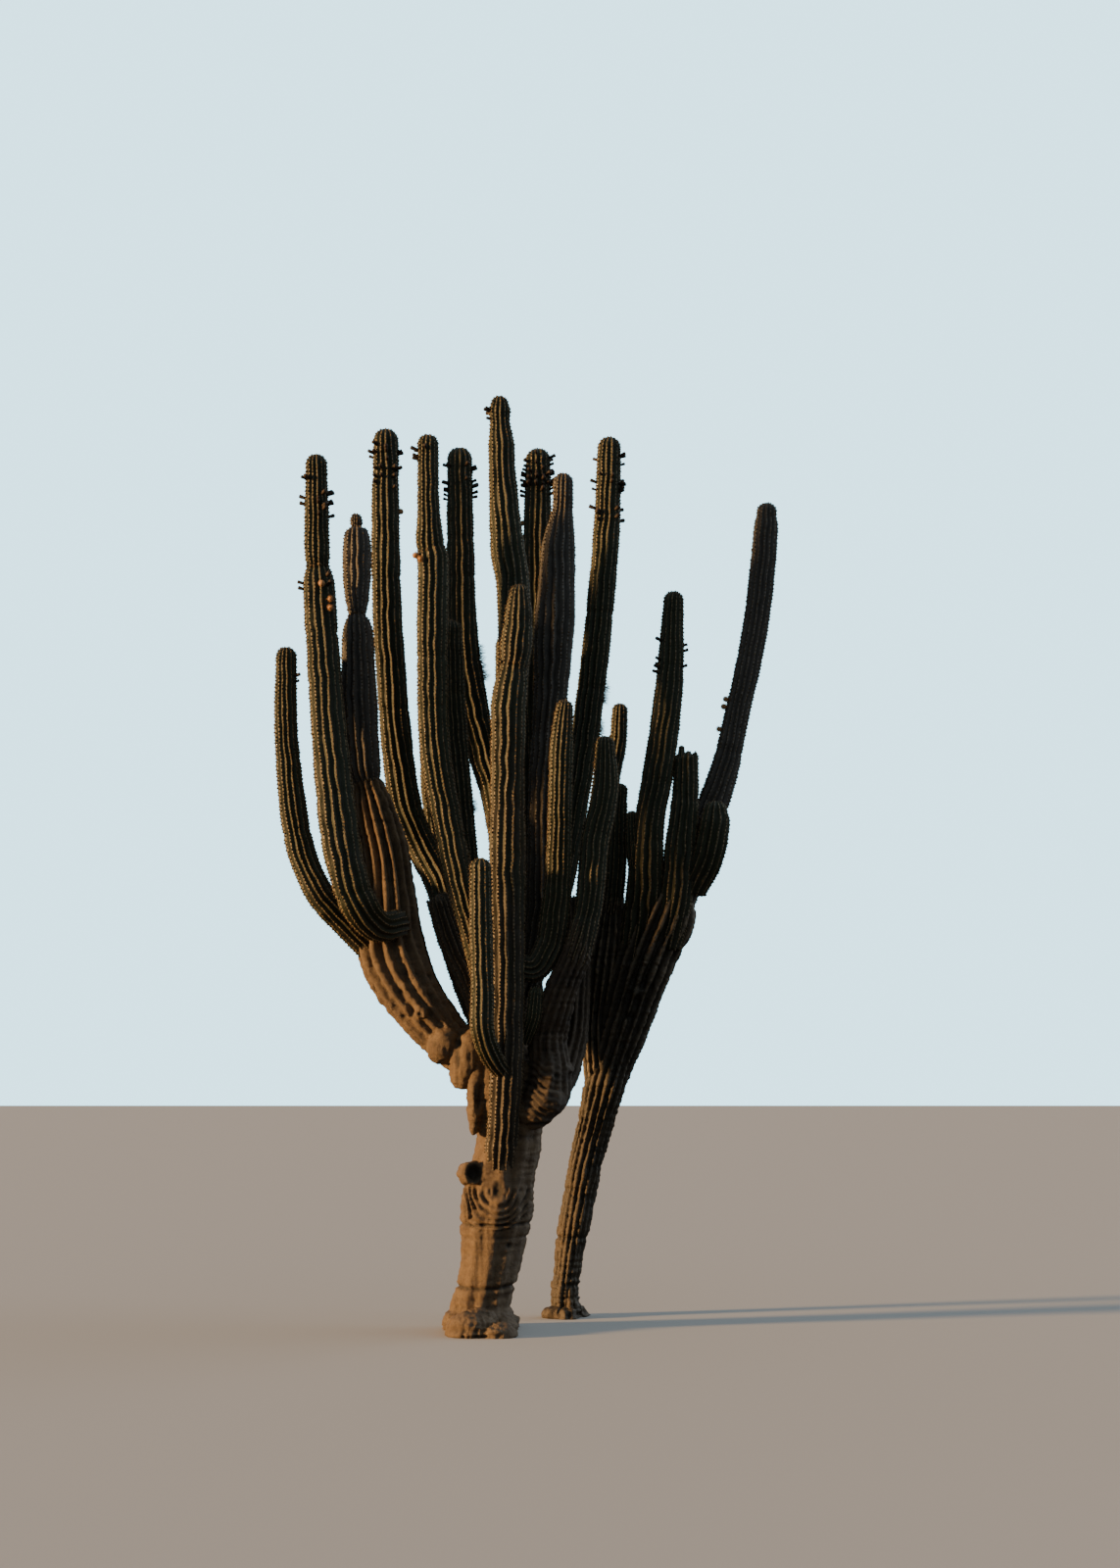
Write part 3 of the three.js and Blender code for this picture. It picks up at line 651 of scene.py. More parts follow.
def through_rows(rows, step):
    """Points and radii on a smooth line through the rows, about one step apart."""
    rows = np.array(rows, float) * MM
    padded = np.vstack([2 * rows[0] - rows[1], rows, 2 * rows[-1] - rows[-2]])
    pieces = []
    for i in range(1, len(padded) - 2):
        a, b, c, d = padded[i - 1:i + 3]
        gaps = [max(np.linalg.norm((q - p)[:3]), 1e-4) ** 0.5 for p, q in ((a, b), (b, c), (c, d))]
        leave = ((b - a) / gaps[0] - (c - a) / (gaps[0] + gaps[1]) + (c - b) / gaps[1]) * gaps[1]
        arrive = ((c - b) / gaps[1] - (d - b) / (gaps[1] + gaps[2]) + (d - c) / gaps[2]) * gaps[1]
        leave[3], arrive[3] = (c[3] - a[3]) / 2, (d[3] - b[3]) / 2
        count = max(2, math.ceil(np.linalg.norm((c - b)[:3]) / step))
        pieces.append(hermite(b, c, leave, arrive, np.arange(count) / count))
    pieces.append(rows[-1:])
    return np.vstack(pieces)


def with_ends(rows, share, step=RING_STEP):
    """The line with a closed foot and a dome that ends at the last row."""
    rows = [list(r) for r in rows]
    last = np.array(rows[-1], float)
    tip_way = (last - np.array(rows[-2], float))[:3]
    up = tip_way / np.linalg.norm(tip_way)
    height = share * last[3]
    rows[-1][:3] = last[:3] - up * height
    line = through_rows(rows, step)
    dome = []
    for k in range(1, DOME_RINGS + 1):
        angle = math.pi / 2 * k / DOME_RINGS
        centre = line[-1, :3] + up * height * MM * math.sin(angle)
        dome.append([*centre, line[-1, 3] * math.cos(angle)])
    foot_way = (line[0] - line[1])[:3]
    foot = [*(line[0, :3] + foot_way / np.linalg.norm(foot_way) * FOOT_LENGTH), 0.0]
    return np.vstack([foot, line, dome])


line = with_ends(LIMBS["arm_left"]["rows"], DOME_SHARE)
print("arm_left rings", len(line))

# %% Stems from curves
CREST_POWER = 2.4
RIB_DEPTH = 0.21
SAME_PLACE = 1e-5


def deselect():
    bpy.ops.object.select_all(action="DESELECT")


def pick(*pieces):
    deselect()
    for piece in pieces:
        piece.select_set(True)
    bpy.context.view_layer.objects.active = pieces[0]


def set_poly(curve_object, points, radii=None, tilts=None, closed=False):
    data = curve_object.data
    data.splines.clear()
    spline = data.splines.new("POLY")
    spline.points.add(len(points) - 1)
    for i, point in enumerate(points):
        spline.points[i].co = (*point, 1)
        if radii is not None:
            spline.points[i].radius = radii[i]
            spline.points[i].tilt = tilts[i]
    spline.use_cyclic_u = closed


def rib_outline(ribs, depth):
    """A star with round crests and sharp grooves, drawn as a flat closed curve."""
    deselect()
    bpy.ops.curve.primitive_nurbs_circle_add(radius=1)
    outline = bpy.context.object
    points = []
    for i in range(ribs * SAMPLES_PER_RIB):
        turn = 2 * math.pi * i / (ribs * SAMPLES_PER_RIB)
        radius = 1 - depth * (1 - abs(math.cos(ribs * turn / 2)) ** CREST_POWER)
        points.append((radius * math.cos(turn), radius * math.sin(turn), 0))
    set_poly(outline, points, closed=True)
    outline.data.dimensions = "2D"
    outline.data.fill_mode = "NONE"
    return outline


def sweep(name, line, outline, tilts):
    """A mesh tube of the outline along the line. Its rings keep the line's order."""
    deselect()
    bpy.ops.curve.primitive_nurbs_path_add()
    path = bpy.context.object
    set_poly(path, line[:, :3], line[:, 3], tilts)
    path.data.twist_mode = "MINIMUM"
    path.data.bevel_mode = "OBJECT"
    path.data.bevel_object = outline
    pick(path)
    bpy.ops.object.convert(target="MESH")
    path.name = name
    path.data.name = name
    return path


def edit_all():
    bpy.ops.object.mode_set(mode="EDIT")
    bpy.ops.mesh.select_all(action="SELECT")


def close_up(piece):
    """Merges the poles and turns every face outwards."""
    pick(piece)
    edit_all()
    bpy.ops.mesh.remove_doubles(threshold=SAME_PLACE)
    bpy.ops.mesh.normals_make_consistent(inside=False)
    bpy.ops.object.mode_set(mode="OBJECT")
    bpy.ops.object.shade_smooth()


def at_vertices(piece, key="co"):
    """The places of the vertices, or their normals when the key says normal."""
    flat = np.empty(len(piece.data.vertices) * 3, np.float32)
    piece.data.vertices.foreach_get(key, flat)
    return flat.reshape(-1, 3).astype(float)


def move_to(piece, points):
    piece.data.vertices.foreach_set("co", points.astype(np.float32).ravel())
    piece.data.update()


def keep_value(piece, name, values):
    attribute = piece.data.attributes.new(name, "FLOAT", "POINT")
    attribute.data.foreach_set("value", np.asarray(values, np.float32).ravel())


trial = rib_outline(ARM_RIBS, RIB_DEPTH)
print("outline points", len(trial.data.splines[0].points))
bpy.data.objects.remove(trial)

# %% [markdown]
# ## Weathering a stem
# A swept stem is too even. Real arms swell and tighten from year to year, their ribs
# wander and their skin is lumpy. Smooth noise moves each vertex in or out along its
# radius and a little round the stem, and a few narrow waists mark old growth. A snapped
# stem gets a splintered top. Every stem also keeps three values for its material: crest,
# groove and age. The groove value paints shade into the valleys between the ribs.

# %% Weathered stems
WAIST_GAP = (0.26, 0.6)
WAIST_WIDTH = 0.019
WAIST_DEPTH = (0.015, 0.07)
NO_WAIST_NEAR_TIP = 0.1
LUMP_SCALE = 5.0
LUMP_HEIGHT = 0.045
RIPPLE_SCALE = 22.0
RIPPLE_HEIGHT = 0.024
WOBBLE_SCALE = 9.0
WOBBLE = 0.09
WANDER = 0.18
WANDER_SCALE = 1.1
CREST_FADE = 3.0
GROOVE_SHADE_POWER = 1.5
AGE_REACH = 1.3
SEED_SHIFT = (3.7, 1.3)
PHASES = 50
BREAK_RINGS = 14
BREAK_HEIGHT = 0.09
BREAK_SCALE = 14.0
STEMS = {}


def unit(vectors, least=1e-9):
    """Vectors of length one. The least length keeps a zero from being divided by zero."""
    return vectors / np.maximum(np.linalg.norm(vectors, axis=1), least)[:, None]


def along_line(line):
    """How far each point is along the line."""
    steps = np.linalg.norm(np.diff(line[:, :3], axis=0), axis=1)
    return np.concatenate([[0], np.cumsum(steps)])


def waists(length, draw):
    """Places and depths of the narrow rings that old growth leaves."""
    found = []
    at = draw.uniform(*WAIST_GAP)
    while at < length - NO_WAIST_NEAR_TIP:
        found.append((at, draw.uniform(*WAIST_DEPTH)))
        at += draw.uniform(*WAIST_GAP)
    return found


def rib_masks(ribs, rings):
    """How much of a crest each vertex is, and how much painted shade its groove gets."""
    turn = np.arange(ribs * SAMPLES_PER_RIB) / SAMPLES_PER_RIB
    off_crest = np.abs(turn - np.round(turn)) * 2
    crest = np.clip(1 - off_crest * CREST_FADE, 0, 1)
    groove = np.clip(off_crest * 2 - 1, 0, 1) ** GROOVE_SHADE_POWER
    return np.tile(crest, rings), np.tile(groove, rings)


def seeded_noise(points, scale, seed):
    """Smooth noise at the points, another one for each seed."""
    shift = Vector((seed * SEED_SHIFT[0], seed * SEED_SHIFT[1], 0))
    return np.array([noise.noise(Vector(p) * scale + shift) for p in points])


def weather(piece, line, ribs, age, seed):
    """Waists, lumps, ripples and wobble. Returns the vertices as one row per ring."""
    draw = random.Random(seed)
    points = at_vertices(piece)
    rings = len(line)
    sides = ribs * SAMPLES_PER_RIB
    centres = np.repeat(line[:, :3], sides, axis=0)
    outward = points - centres
    far = along_line(line)
    swell = np.ones(rings)
    for at, depth in waists(far[-1], draw):
        swell -= depth * np.exp(-((far - at) / WAIST_WIDTH) ** 2)
    factor = np.repeat(swell, sides)
    factor += LUMP_HEIGHT * seeded_noise(points, LUMP_SCALE, seed)
    factor += RIPPLE_HEIGHT * seeded_noise(points, RIPPLE_SCALE, seed + 5)
    axis = np.repeat(unit(np.gradient(line[:, :3], axis=0)), sides, axis=0)
    aside = WOBBLE * seeded_noise(points, WOBBLE_SCALE, seed + 9)
    points = centres + outward * factor[:, None] + np.cross(axis, outward) * aside[:, None]
    move_to(piece, points)
    crest, groove = rib_masks(ribs, rings)
    share = far / far[-1]
    old = age[0] + (age[1] - age[0]) * np.clip(share * AGE_REACH, 0, 1)
    keep_value(piece, "crest", crest)
    # The groove value says how much painted shade the valley between two ribs gets.
    keep_value(piece, "groove", groove)
    keep_value(piece, "age", np.repeat(old, sides))
    return points.reshape(rings, sides, 3)


def break_top(piece, line, points, seed):
    """Splinters the flat top of a snapped stem along its axis."""
    height = BREAK_HEIGHT * seeded_noise(points.reshape(-1, 3) * (1, 1, 0), BREAK_SCALE, seed)
    share = np.zeros(len(line))
    share[-BREAK_RINGS:] = np.linspace(0, 1, BREAK_RINGS) ** 0.5
    axis = unit(np.gradient(line[:, :3], axis=0))
    rise = height.reshape(points.shape[:2]) * share[:, None]
    broken = points + axis[:, None, :] * rise[..., None]
    move_to(piece, broken.reshape(-1, 3))
    return broken


def wandering(line, draw):
    """Tilts that let the ribs turn slowly round the stem."""
    phase = draw.uniform(0, PHASES)
    return [WANDER * noise.noise(Vector((phase, 0, s * WANDER_SCALE))) for s in along_line(line)]


def dress(piece, skin, nodes):
    """Gives a piece its skin, and says what it rides on and which nodes it replaces."""
    piece.data.materials.clear()
    piece.data.materials.append(SKINS[skin])
    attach(piece, "root")
    if nodes:
        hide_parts(*nodes)


def grow_stem(name, seed):
    made = LIMBS[name]
    share = SNAPPED_SHARE if made["snapped"] else DOME_SHARE
    line = with_ends(made["rows"], share)
    outline = rib_outline(made["ribs"], RIB_DEPTH)
    piece = sweep(name + "_stem", line, outline, wandering(line, random.Random(seed)))
    grid = weather(piece, line, made["ribs"], made["age"], seed)
    if made["snapped"]:
        grid = break_top(piece, line, grid, seed)
    bpy.data.objects.remove(outline)
    close_up(piece)
    dress(piece, made["skin"], made["nodes"])
    STEMS[name] = {"line": line, "grid": grid, "piece": piece}


for seed, name in enumerate(LIMBS, 1):
    grow_stem(name, seed)
print("stems", len(STEMS), "faces", sum(len(s["piece"].data.polygons) for s in STEMS.values()))

# %% [markdown]
# ## The bark body
# The trunk and its boughs are one piece of old wood, so they are swept separately and
# then melted together: joined, remeshed with small voxels, which rounds the crotches
# over as growing wood does, and cut flat at the ground. Knots, root folds and broken
# stubs are added before that, so they grow out of the bark too.

# %% Swept parts and knots of the bark
BARK_VOXEL = 0.011
BARK_STEP = 0.03
STUB_STEP = 0.015
STUB_RIB_DEPTH = 0.12
STUB_LIP = 1.05
MELT_ROUNDS = 4
MELT_FACTOR = 0.5


def bark_tube(name, line, ribs, depth):
    """A straight-ribbed tube along a line, and its vertices as one row per ring."""
    outline = rib_outline(ribs, depth)
    tube = sweep(name, line, outline, [0.0] * len(line))
    grid = at_vertices(tube).reshape(len(line), -1, 3)
    bpy.data.objects.remove(outline)
    close_up(tube)
    return tube, grid


def grow_tubes(parts, pieces):
    """Adds a tube for each part to the pieces. Returns a guide to each for the relief."""
    guides = []
    for name, (rows, ribs, depth, age, ribbed) in parts.items():
        line = with_ends(rows, DOME_SHARE, BARK_STEP)
        tube, grid = bark_tube(name + "_tube", line, ribs, depth)
        pieces.append(tube)
        guides.append({"line": line, "grid": grid, "ribs": ribs, "age": age, "ribbed": ribbed})
    return guides


def knot(at, size, lean=(0, 0, 0)):
    deselect()
    bpy.ops.mesh.primitive_uv_sphere_add(
        segments=24, ring_count=14, location=Vector(at) * MM, rotation=lean, scale=Vector(size) * MM
    )
    return bpy.context.object


def stub(start, end, radius, flare=1.25, ribs=7):
    """A short broken branch with a collar at its foot."""
    middle = [(a * 0.5 + b * 0.5) for a, b in zip(start, end)]
    rows = [(*start, radius * flare), (*middle, radius), (*end, radius * STUB_LIP)]
    return bark_tube("stub", with_ends(rows, SNAPPED_SHARE, STUB_STEP), ribs, STUB_RIB_DEPTH)[0]


def apply_modifier(piece, kind, **settings):
    bpy.ops.object.modifier_add(type=kind)
    modifier = piece.modifiers[-1]
    for key, value in settings.items():
        setattr(modifier, key, value)
    bpy.ops.object.modifier_apply(modifier=modifier.name)


def melt(name, parts):
    """Joins the parts, remeshes them into one skin and cuts it flat at the ground."""
    pick(*parts)
    bpy.ops.object.join()
    body = bpy.context.object
    bpy.ops.object.transform_apply(location=True, rotation=True, scale=True)
    body.name = name
    body.data.name = name
    apply_modifier(body, "REMESH", mode="VOXEL", voxel_size=BARK_VOXEL)
    apply_modifier(body, "SMOOTH", iterations=MELT_ROUNDS, factor=MELT_FACTOR)
    edit_all()
    bpy.ops.mesh.bisect(plane_co=(0, 0, 0), plane_no=(0, 0, 1), use_fill=True, clear_inner=True)
    bpy.ops.object.mode_set(mode="OBJECT")
    bpy.ops.object.shade_smooth()
    if "UVMap" in body.data.attributes:
        body.data.attributes.remove(body.data.attributes["UVMap"])
    return body


print("bark voxels", BARK_VOXEL * 1000, "mm")

# %% The bark body
# Rows, ribs and their depth, then the age and how ribbed it is, from foot to tip.
BARK_PARTS = {
    "trunk": (TRUNK, BARK_LOBES, 0.07, (1.0, 0.85), (0.0, 0.15)),
    "bough_left": (BOUGH_LEFT, ARM_RIBS, 0.15, (0.8, 0.9), (0.15, 1.0)),
    "bough_right": (BOUGH_RIGHT, ARM_RIBS, 0.13, (0.3, 0.0), (0.1, 1.0)),
    "bough_back": (BOUGH_BACK, ARM_RIBS, 0.13, (0.4, 0.2), (0.2, 0.8)),
    "bough_back_right": (BOUGH_BACK_RIGHT, ARM_RIBS, 0.16, (0.2, 0.0), (0.3, 1.0)),
}
bark_pieces = []
bark_guides = grow_tubes(BARK_PARTS, bark_pieces)
bark_pieces += [
    knot((-80, -300, 20), (175, 165, 135), (0, 0, 0.3)),
    knot((80, -370, 0), (115, 120, 100)),
    knot((95, -150, 20), (120, 110, 95)),
    knot((-185, -50, 40), (105, 130, 120)),
    knot((60, 190, 25), (150, 110, 100)),
    knot((-20, -250, 130), (100, 70, 60), (0.3, 0.2, 0.4)),
    knot((-95, -85, 890), (80, 100, 135)),
    knot((-40, -60, 640), (90, 130, 110)),
    knot((-70, -130, 1620), (58, 95, 270), (0, 0.06, 0)),
    knot((-135, -100, 1890), (112, 115, 210), (0, 0.25, 0)),
    knot((-300, -85, 1985), (105, 105, 145), (0, 0.45, 0)),
    knot((400, -190, 1620), (150, 130, 130), (0, 0.4, 0)),
    knot((345, -165, 1545), (140, 125, 140)),
    knot((420, -215, 1800), (110, 100, 160), (0, 0.2, 0)),
    stub((-120, -50, 1090), (-84, -226, 1106), 80, flare=1.15),
    stub((520, -150, 1800), (592, -190, 1835), 38),
    stub((-440, -20, 2180), (-455, -165, 2215), 44, ribs=6),
    stub((-500, 200, 2380), (-520, 300, 2420), 50, ribs=6),
    stub((120, 220, 1250), (130, 330, 1290), 55),
]
bark_body = melt("bark_body", bark_pieces)
print("bark body faces", len(bark_body.data.polygons))

# %% [markdown]
# ## Relief of the bark
# Old cardon bark creases across the trunk like an elephant's knee, splits in fine
# upright cracks, and sags in folds under old wounds. Each vertex is moved along its own
# normal by the sum of these forms. Where the sum is low the vertex is marked as groove,
# and the material paints shade into these folds, on top of the shade that the light
# finds there.

# %% Noise on the bark
# Each noise has its scale along x, y and z, and a shift that keeps it apart from others.
PATCH_NOISE = ((2.3, 2.3, 1.6), (5, 5, 5))
LUMP_NOISE = ((4.5, 4.5, 3.2), (0, 0, 0))
CREASE_NOISE = ((3.5, 3.5, 24), (7, 0, 0))
CRACK_NOISE = ((26, 26, 3.2), (0, 9, 0))
GRAIN_NOISE = ((55, 55, 70), (0, 0, 0))
PATCHES = 0.9
LUMP_ON_BARK = 0.02
CREASE_HEIGHT, CREASE_SHARPNESS = 0.007, 2.4
CRACK_HEIGHT, CRACK_SHARPNESS = 0.0045, 2.6
GRAIN_ON_BARK = 0.004
ROOT_ROUGH = 1.6
ROOT_HEIGHT = 0.2


def noise_over(points, scale, shift):
    """Smooth noise at the points, with its own scale along each axis."""
    scaled = points * np.array(scale) + np.array(shift)
    return np.array([noise.noise(Vector(p)) for p in scaled])


def wrinkles(points):
    """The forms that all bark has: lumps, creases across, cracks along, grain."""
    rough = 1 + ROOT_ROUGH * np.exp(-((points[:, 2] / ROOT_HEIGHT) ** 2))
    rough += PATCHES * noise_over(points, *PATCH_NOISE)
    lumps = LUMP_ON_BARK * noise_over(points, *LUMP_NOISE)
    across = noise_over(points, *CREASE_NOISE)
    creases = CREASE_HEIGHT * (1 - CREASE_SHARPNESS * np.abs(across))
    along = noise_over(points, *CRACK_NOISE)
    cracks = CRACK_HEIGHT * (1 - CRACK_SHARPNESS * np.abs(along))
    grain = GRAIN_ON_BARK * noise_over(points, *GRAIN_NOISE)
    return lumps, creases * rough, cracks * rough + grain


print("bark noise, creases", CREASE_HEIGHT * 1000, "mm and cracks", CRACK_HEIGHT * 1000, "mm high")

# %% Folds of the trunk
# A fold is placed by x and z, and only on the side that faces the front.
FOLDS_AT = (0.09, 0.98)
FOLD_NOISE = ((6, 6, 6), (1, 2, 3))
FOLD_UNEVEN = 0.035
FOLD_SQUASH = 0.95
FOLD_REACH = (0.07, 0.27)
FOLD_TOP = 0.03
FOLD_FADE = (0.05, 0.06)
FOLD_GAP = 0.042
FOLD_HEIGHT = 0.013
FOLD_FRONT = -0.06
WOUND_SIZE = 0.05
WOUND_DEPTH = 0.022
SLANT_AT = (0.36, 1.68)
SLANT_REACH = (0.12, 0.2)
SLANT_FALL = 0.55
SLANT_WAVE = (0.012, 40)
SLANT_GAP = 0.052
SLANT_HEIGHT = 0.012
SLANT_FRONT = -0.12
CREASE_WIDTH = 0.013
CREASE_SAG = 0.02
CREASE_SAG_NOISE = ((3, 3, 0.5), (3, 3, 3))


def sagging_folds(points):
    """Half rings that hang under a wound on the front of the trunk."""
    dx, dz = points[:, 0] - FOLDS_AT[0], points[:, 2] - FOLDS_AT[1]
    reach = np.hypot(dx, dz * FOLD_SQUASH) + FOLD_UNEVEN * noise_over(points, *FOLD_NOISE)
    low, high = FOLD_REACH
    front = points[:, 1] < FOLD_FRONT
    inside = (reach > low) & (reach < high) & (dz < FOLD_TOP) & front
    wave = np.sin((reach - low) / FOLD_GAP * 2 * math.pi)
    fade = np.clip((FOLD_FADE[0] - dz) / FOLD_FADE[1], 0, 1)
    wound = np.exp(-((reach / WOUND_SIZE) ** 2)) * front
    return np.where(inside, FOLD_HEIGHT * wave * fade, 0.0) - WOUND_DEPTH * wound


def slanting_wrinkles(points):
    """Folds across the knuckle of the right bough, that fall to the right."""
    dx, dz = points[:, 0] - SLANT_AT[0], points[:, 2] - SLANT_AT[1]
    fade = np.exp(-((dx / SLANT_REACH[0]) ** 4) - (dz / SLANT_REACH[1]) ** 4)
    wave = SLANT_WAVE[0] * np.sin(dx * SLANT_WAVE[1])
    fold = np.abs(np.sin((dz + SLANT_FALL * dx + wave) / SLANT_GAP * math.pi))
    return np.where(points[:, 1] < SLANT_FRONT, SLANT_HEIGHT * (2 * fold - 1) * fade, 0.0)


def dents(points, rows):
    """Each row is the place, the half sizes and the depth of a hollow."""
    moved = np.zeros(len(points))
    for place, reach, depth in rows:
        gap = np.linalg.norm((points - np.array(place)) / np.array(reach), axis=1)
        moved -= depth * np.exp(-(gap**4))
    return moved


def ring_creases(points, rows):
    """Each row is the height and the depth of a crease that runs round the trunk."""
    moved = np.zeros(len(points))
    wave = CREASE_SAG * noise_over(points, *CREASE_SAG_NOISE)
    for height, depth in rows:
        moved -= depth * np.exp(-(((points[:, 2] + wave - height) / CREASE_WIDTH) ** 2))
    return moved


print("folds", FOLD_HEIGHT * 1000, "mm and slanting wrinkles", SLANT_HEIGHT * 1000, "mm high")

# %% Following the nearest limb
THINNEST = 0.02
CHUNK = 4000


def nearest_guide(points, guides):
    """For each point the nearest limb, its share along it, and its rib phase."""
    best = np.full(len(points), np.inf)
    which = np.zeros(len(points), int)
    share = np.zeros(len(points))
    phase = np.zeros(len(points))
    for number, guide in enumerate(guides):
        line, grid = guide["line"][1:], guide["grid"][1:]
        gap = np.linalg.norm(points[:, None, :] - line[None, :, :3], axis=2)
        ring = np.argmin(gap, axis=1)
        score = gap[np.arange(len(points)), ring] / np.maximum(line[ring, 3], THINNEST)
        centre = line[ring, :3]
        side = unit(grid[ring, 0] - centre, 1e-6)
        quarter = unit(grid[ring, grid.shape[1] // 4] - centre, 1e-6)
        out = points - centre
        angle = np.arctan2((out * quarter).sum(1), (out * side).sum(1))
        closer = score < best
        best[closer] = score[closer]
        which[closer] = number
        share[closer] = ring[closer] / len(line)
        phase[closer] = (guide["ribs"] * angle / (2 * math.pi))[closer]
    return which, share, phase


def in_chunks(points, guides):
    """The same for many points, in portions that fit the memory."""
    starts = range(0, len(points), CHUNK)
    found = [nearest_guide(points[i:i + CHUNK], guides) for i in starts]
    return [np.concatenate(column) for column in zip(*found)]


def from_foot_to_tip(key, guides, which, share):
    """A value that changes along each limb, from its foot to its tip."""
    foot, tip = np.array([guide[key] for guide in guides])[which].T
    return foot + (tip - foot) * share


print("limbs are followed", CHUNK, "points at a time")

# %% Skin of the bark
RIB_ON_BARK = 0.03
RIB_MIDDLE = 0.6
CREASES_LOST_ON_RIBS = 0.6
NARROW_CREST = 2.2
FULL_GROOVE_SHADE = 0.016


def wrinkle_bark(body, guides, extra):
    """Moves the skin along its normals, then keeps crest, groove for painted shade, and age."""
    points, normals = at_vertices(body), at_vertices(body, "normal")
    which, share, phase = in_chunks(points, guides)
    lumps, creases, cracks = wrinkles(points)
    ribbed = from_foot_to_tip("ribbed", guides, which, share)
    rib = np.abs(np.cos(math.pi * phase)) ** CREST_POWER - RIB_MIDDLE
    creases *= 1 - CREASES_LOST_ON_RIBS * ribbed
    depth = creases + cracks + extra(points) + RIB_ON_BARK * rib * ribbed
    moved = points + normals * (lumps + depth)[:, None]
    moved[:, 2] = np.maximum(moved[:, 2], 0.0)
    moved[points[:, 2] < SAME_PLACE, 2] = 0.0
    move_to(body, moved)
    off_crest = np.abs(phase - np.round(phase)) * 2
    keep_value(body, "crest", np.clip(1 - off_crest * NARROW_CREST, 0, 1) * ribbed)
    # Painted shade: the deeper a crease, crack or hollow is pressed in, the darker it is coloured.
    keep_value(body, "groove", np.clip(-depth / FULL_GROOVE_SHADE, 0, 1))
    keep_value(body, "age", from_foot_to_tip("age", guides, which, share))


# Ring creases have a height and a depth, and hollows a place, half sizes and a depth.
RING_CREASES = ((0.31, 0.024), (0.46, 0.003), (0.655, 0.008), (0.75, 0.018), (1.36, 0.008))
HOLLOWS = (
    ((-0.07, -0.235, 1.106), (0.052, 0.06, 0.06), 0.075),
    ((0.085, -0.22, 0.99), (0.034, 0.06, 0.06), 0.026),
    ((-0.045, -0.225, 1.64), (0.035, 0.06, 0.13), 0.022),
    ((0.165, -0.2, 0.6), (0.028, 0.05, 0.026), 0.022),
    ((0.61, -0.2, 1.843), (0.022, 0.03, 0.022), 0.014),
    ((0.49, -0.3, 1.766), (0.022, 0.05, 0.022), 0.018),
    ((-0.456, -0.17, 2.19), (0.024, 0.03, 0.024), 0.02),
    ((0.36, -0.27, 1.43), (0.16, 0.08, 0.022), 0.022),
    ((-0.19, -0.17, 1.93), (0.022, 0.08, 0.13), 0.02),
    ((0.133, 0.35, 1.3), (0.035, 0.035, 0.035), 0.04),
)


def trunk_forms(points):
    forms = sagging_folds(points) + slanting_wrinkles(points)
    return forms + ring_creases(points, RING_CREASES) + dents(points, HOLLOWS)


wrinkle_bark(bark_body, bark_guides, trunk_forms)
dress(bark_body, "bark", BARK_PARTS)
print("bark low", round(float(at_vertices(bark_body)[:, 2].min()), 4), "m")

# %% [markdown]
# ## The second stem
# The second stem stands on its own foot behind the trunk and leans away to the right. It
# is younger and darker, with its ribs still to be seen, and one ring scar near the foot.

# %% Second stem
SECOND_CREASES = ((0.588, 0.014), (0.3, 0.006), (1.1, 0.006), (1.62, 0.005))
SECOND_HOLLOWS = (
    ((1.0, 0.62, 2.2), (0.03, 0.03, 0.03), 0.02),
    ((0.62, 0.7, 0.9), (0.02, 0.02, 0.02), 0.012),
)
SECOND_PARTS = {
    "trunk_behind": (TRUNK_BEHIND, SECOND_RIBS, 0.2, (0.5, 0.0), (0.2, 0.9)),
    "bough_second_left": (BOUGH_SECOND_LEFT, ARM_RIBS, 0.2, (0.1, 0.0), (0.9, 0.9)),
}


def second_forms(points):
    return ring_creases(points, SECOND_CREASES) + dents(points, SECOND_HOLLOWS)


second_pieces = [
    knot((470, 760, 10), (90, 100, 70)),
    knot((600, 860, 0), (110, 90, 80)),
    knot((560, 700, 5), (80, 80, 60)),
    stub((1080, 700, 2350), (1060, 560, 2390), 46, ribs=6),
]
second_guides = grow_tubes(SECOND_PARTS, second_pieces)
second_body = melt("second_stem", second_pieces)
wrinkle_bark(second_body, second_guides, second_forms)
dress(second_body, "old_skin", SECOND_PARTS)
print("second stem faces", len(second_body.data.polygons))

# %% [markdown]
# ## Small things in their thousands
# Every crest carries a row of areoles, the woolly pads that spines grow from. A pad, a
# spine, a bud and a fruit are each modelled once with few faces, and a joined mesh holds
# all the copies of a kind. The copies are set down by their place, the way out of the
# rib and the way up the stem, so they sit right from every side.

# %% Templates and copies
MOST_TRIANGLES = 190000


def read_template(piece):
    """Corners and triangles of a small model, which is then removed."""
    pick(piece)
    bpy.ops.object.transform_apply(location=True, rotation=True, scale=True)
    edit_all()
    bpy.ops.mesh.quads_convert_to_tris()
    bpy.ops.mesh.normals_make_consistent(inside=False)
    bpy.ops.object.mode_set(mode="OBJECT")
    corners = at_vertices(piece)
    faces = np.array([tuple(f.vertices) for f in piece.data.polygons], int)
    bpy.data.objects.remove(piece)
    return corners, faces


def in_columns(rows):
    """Turns rows of site, way out, way up and size into one array of each."""
    return [np.array(column, float) for column in zip(*rows)]


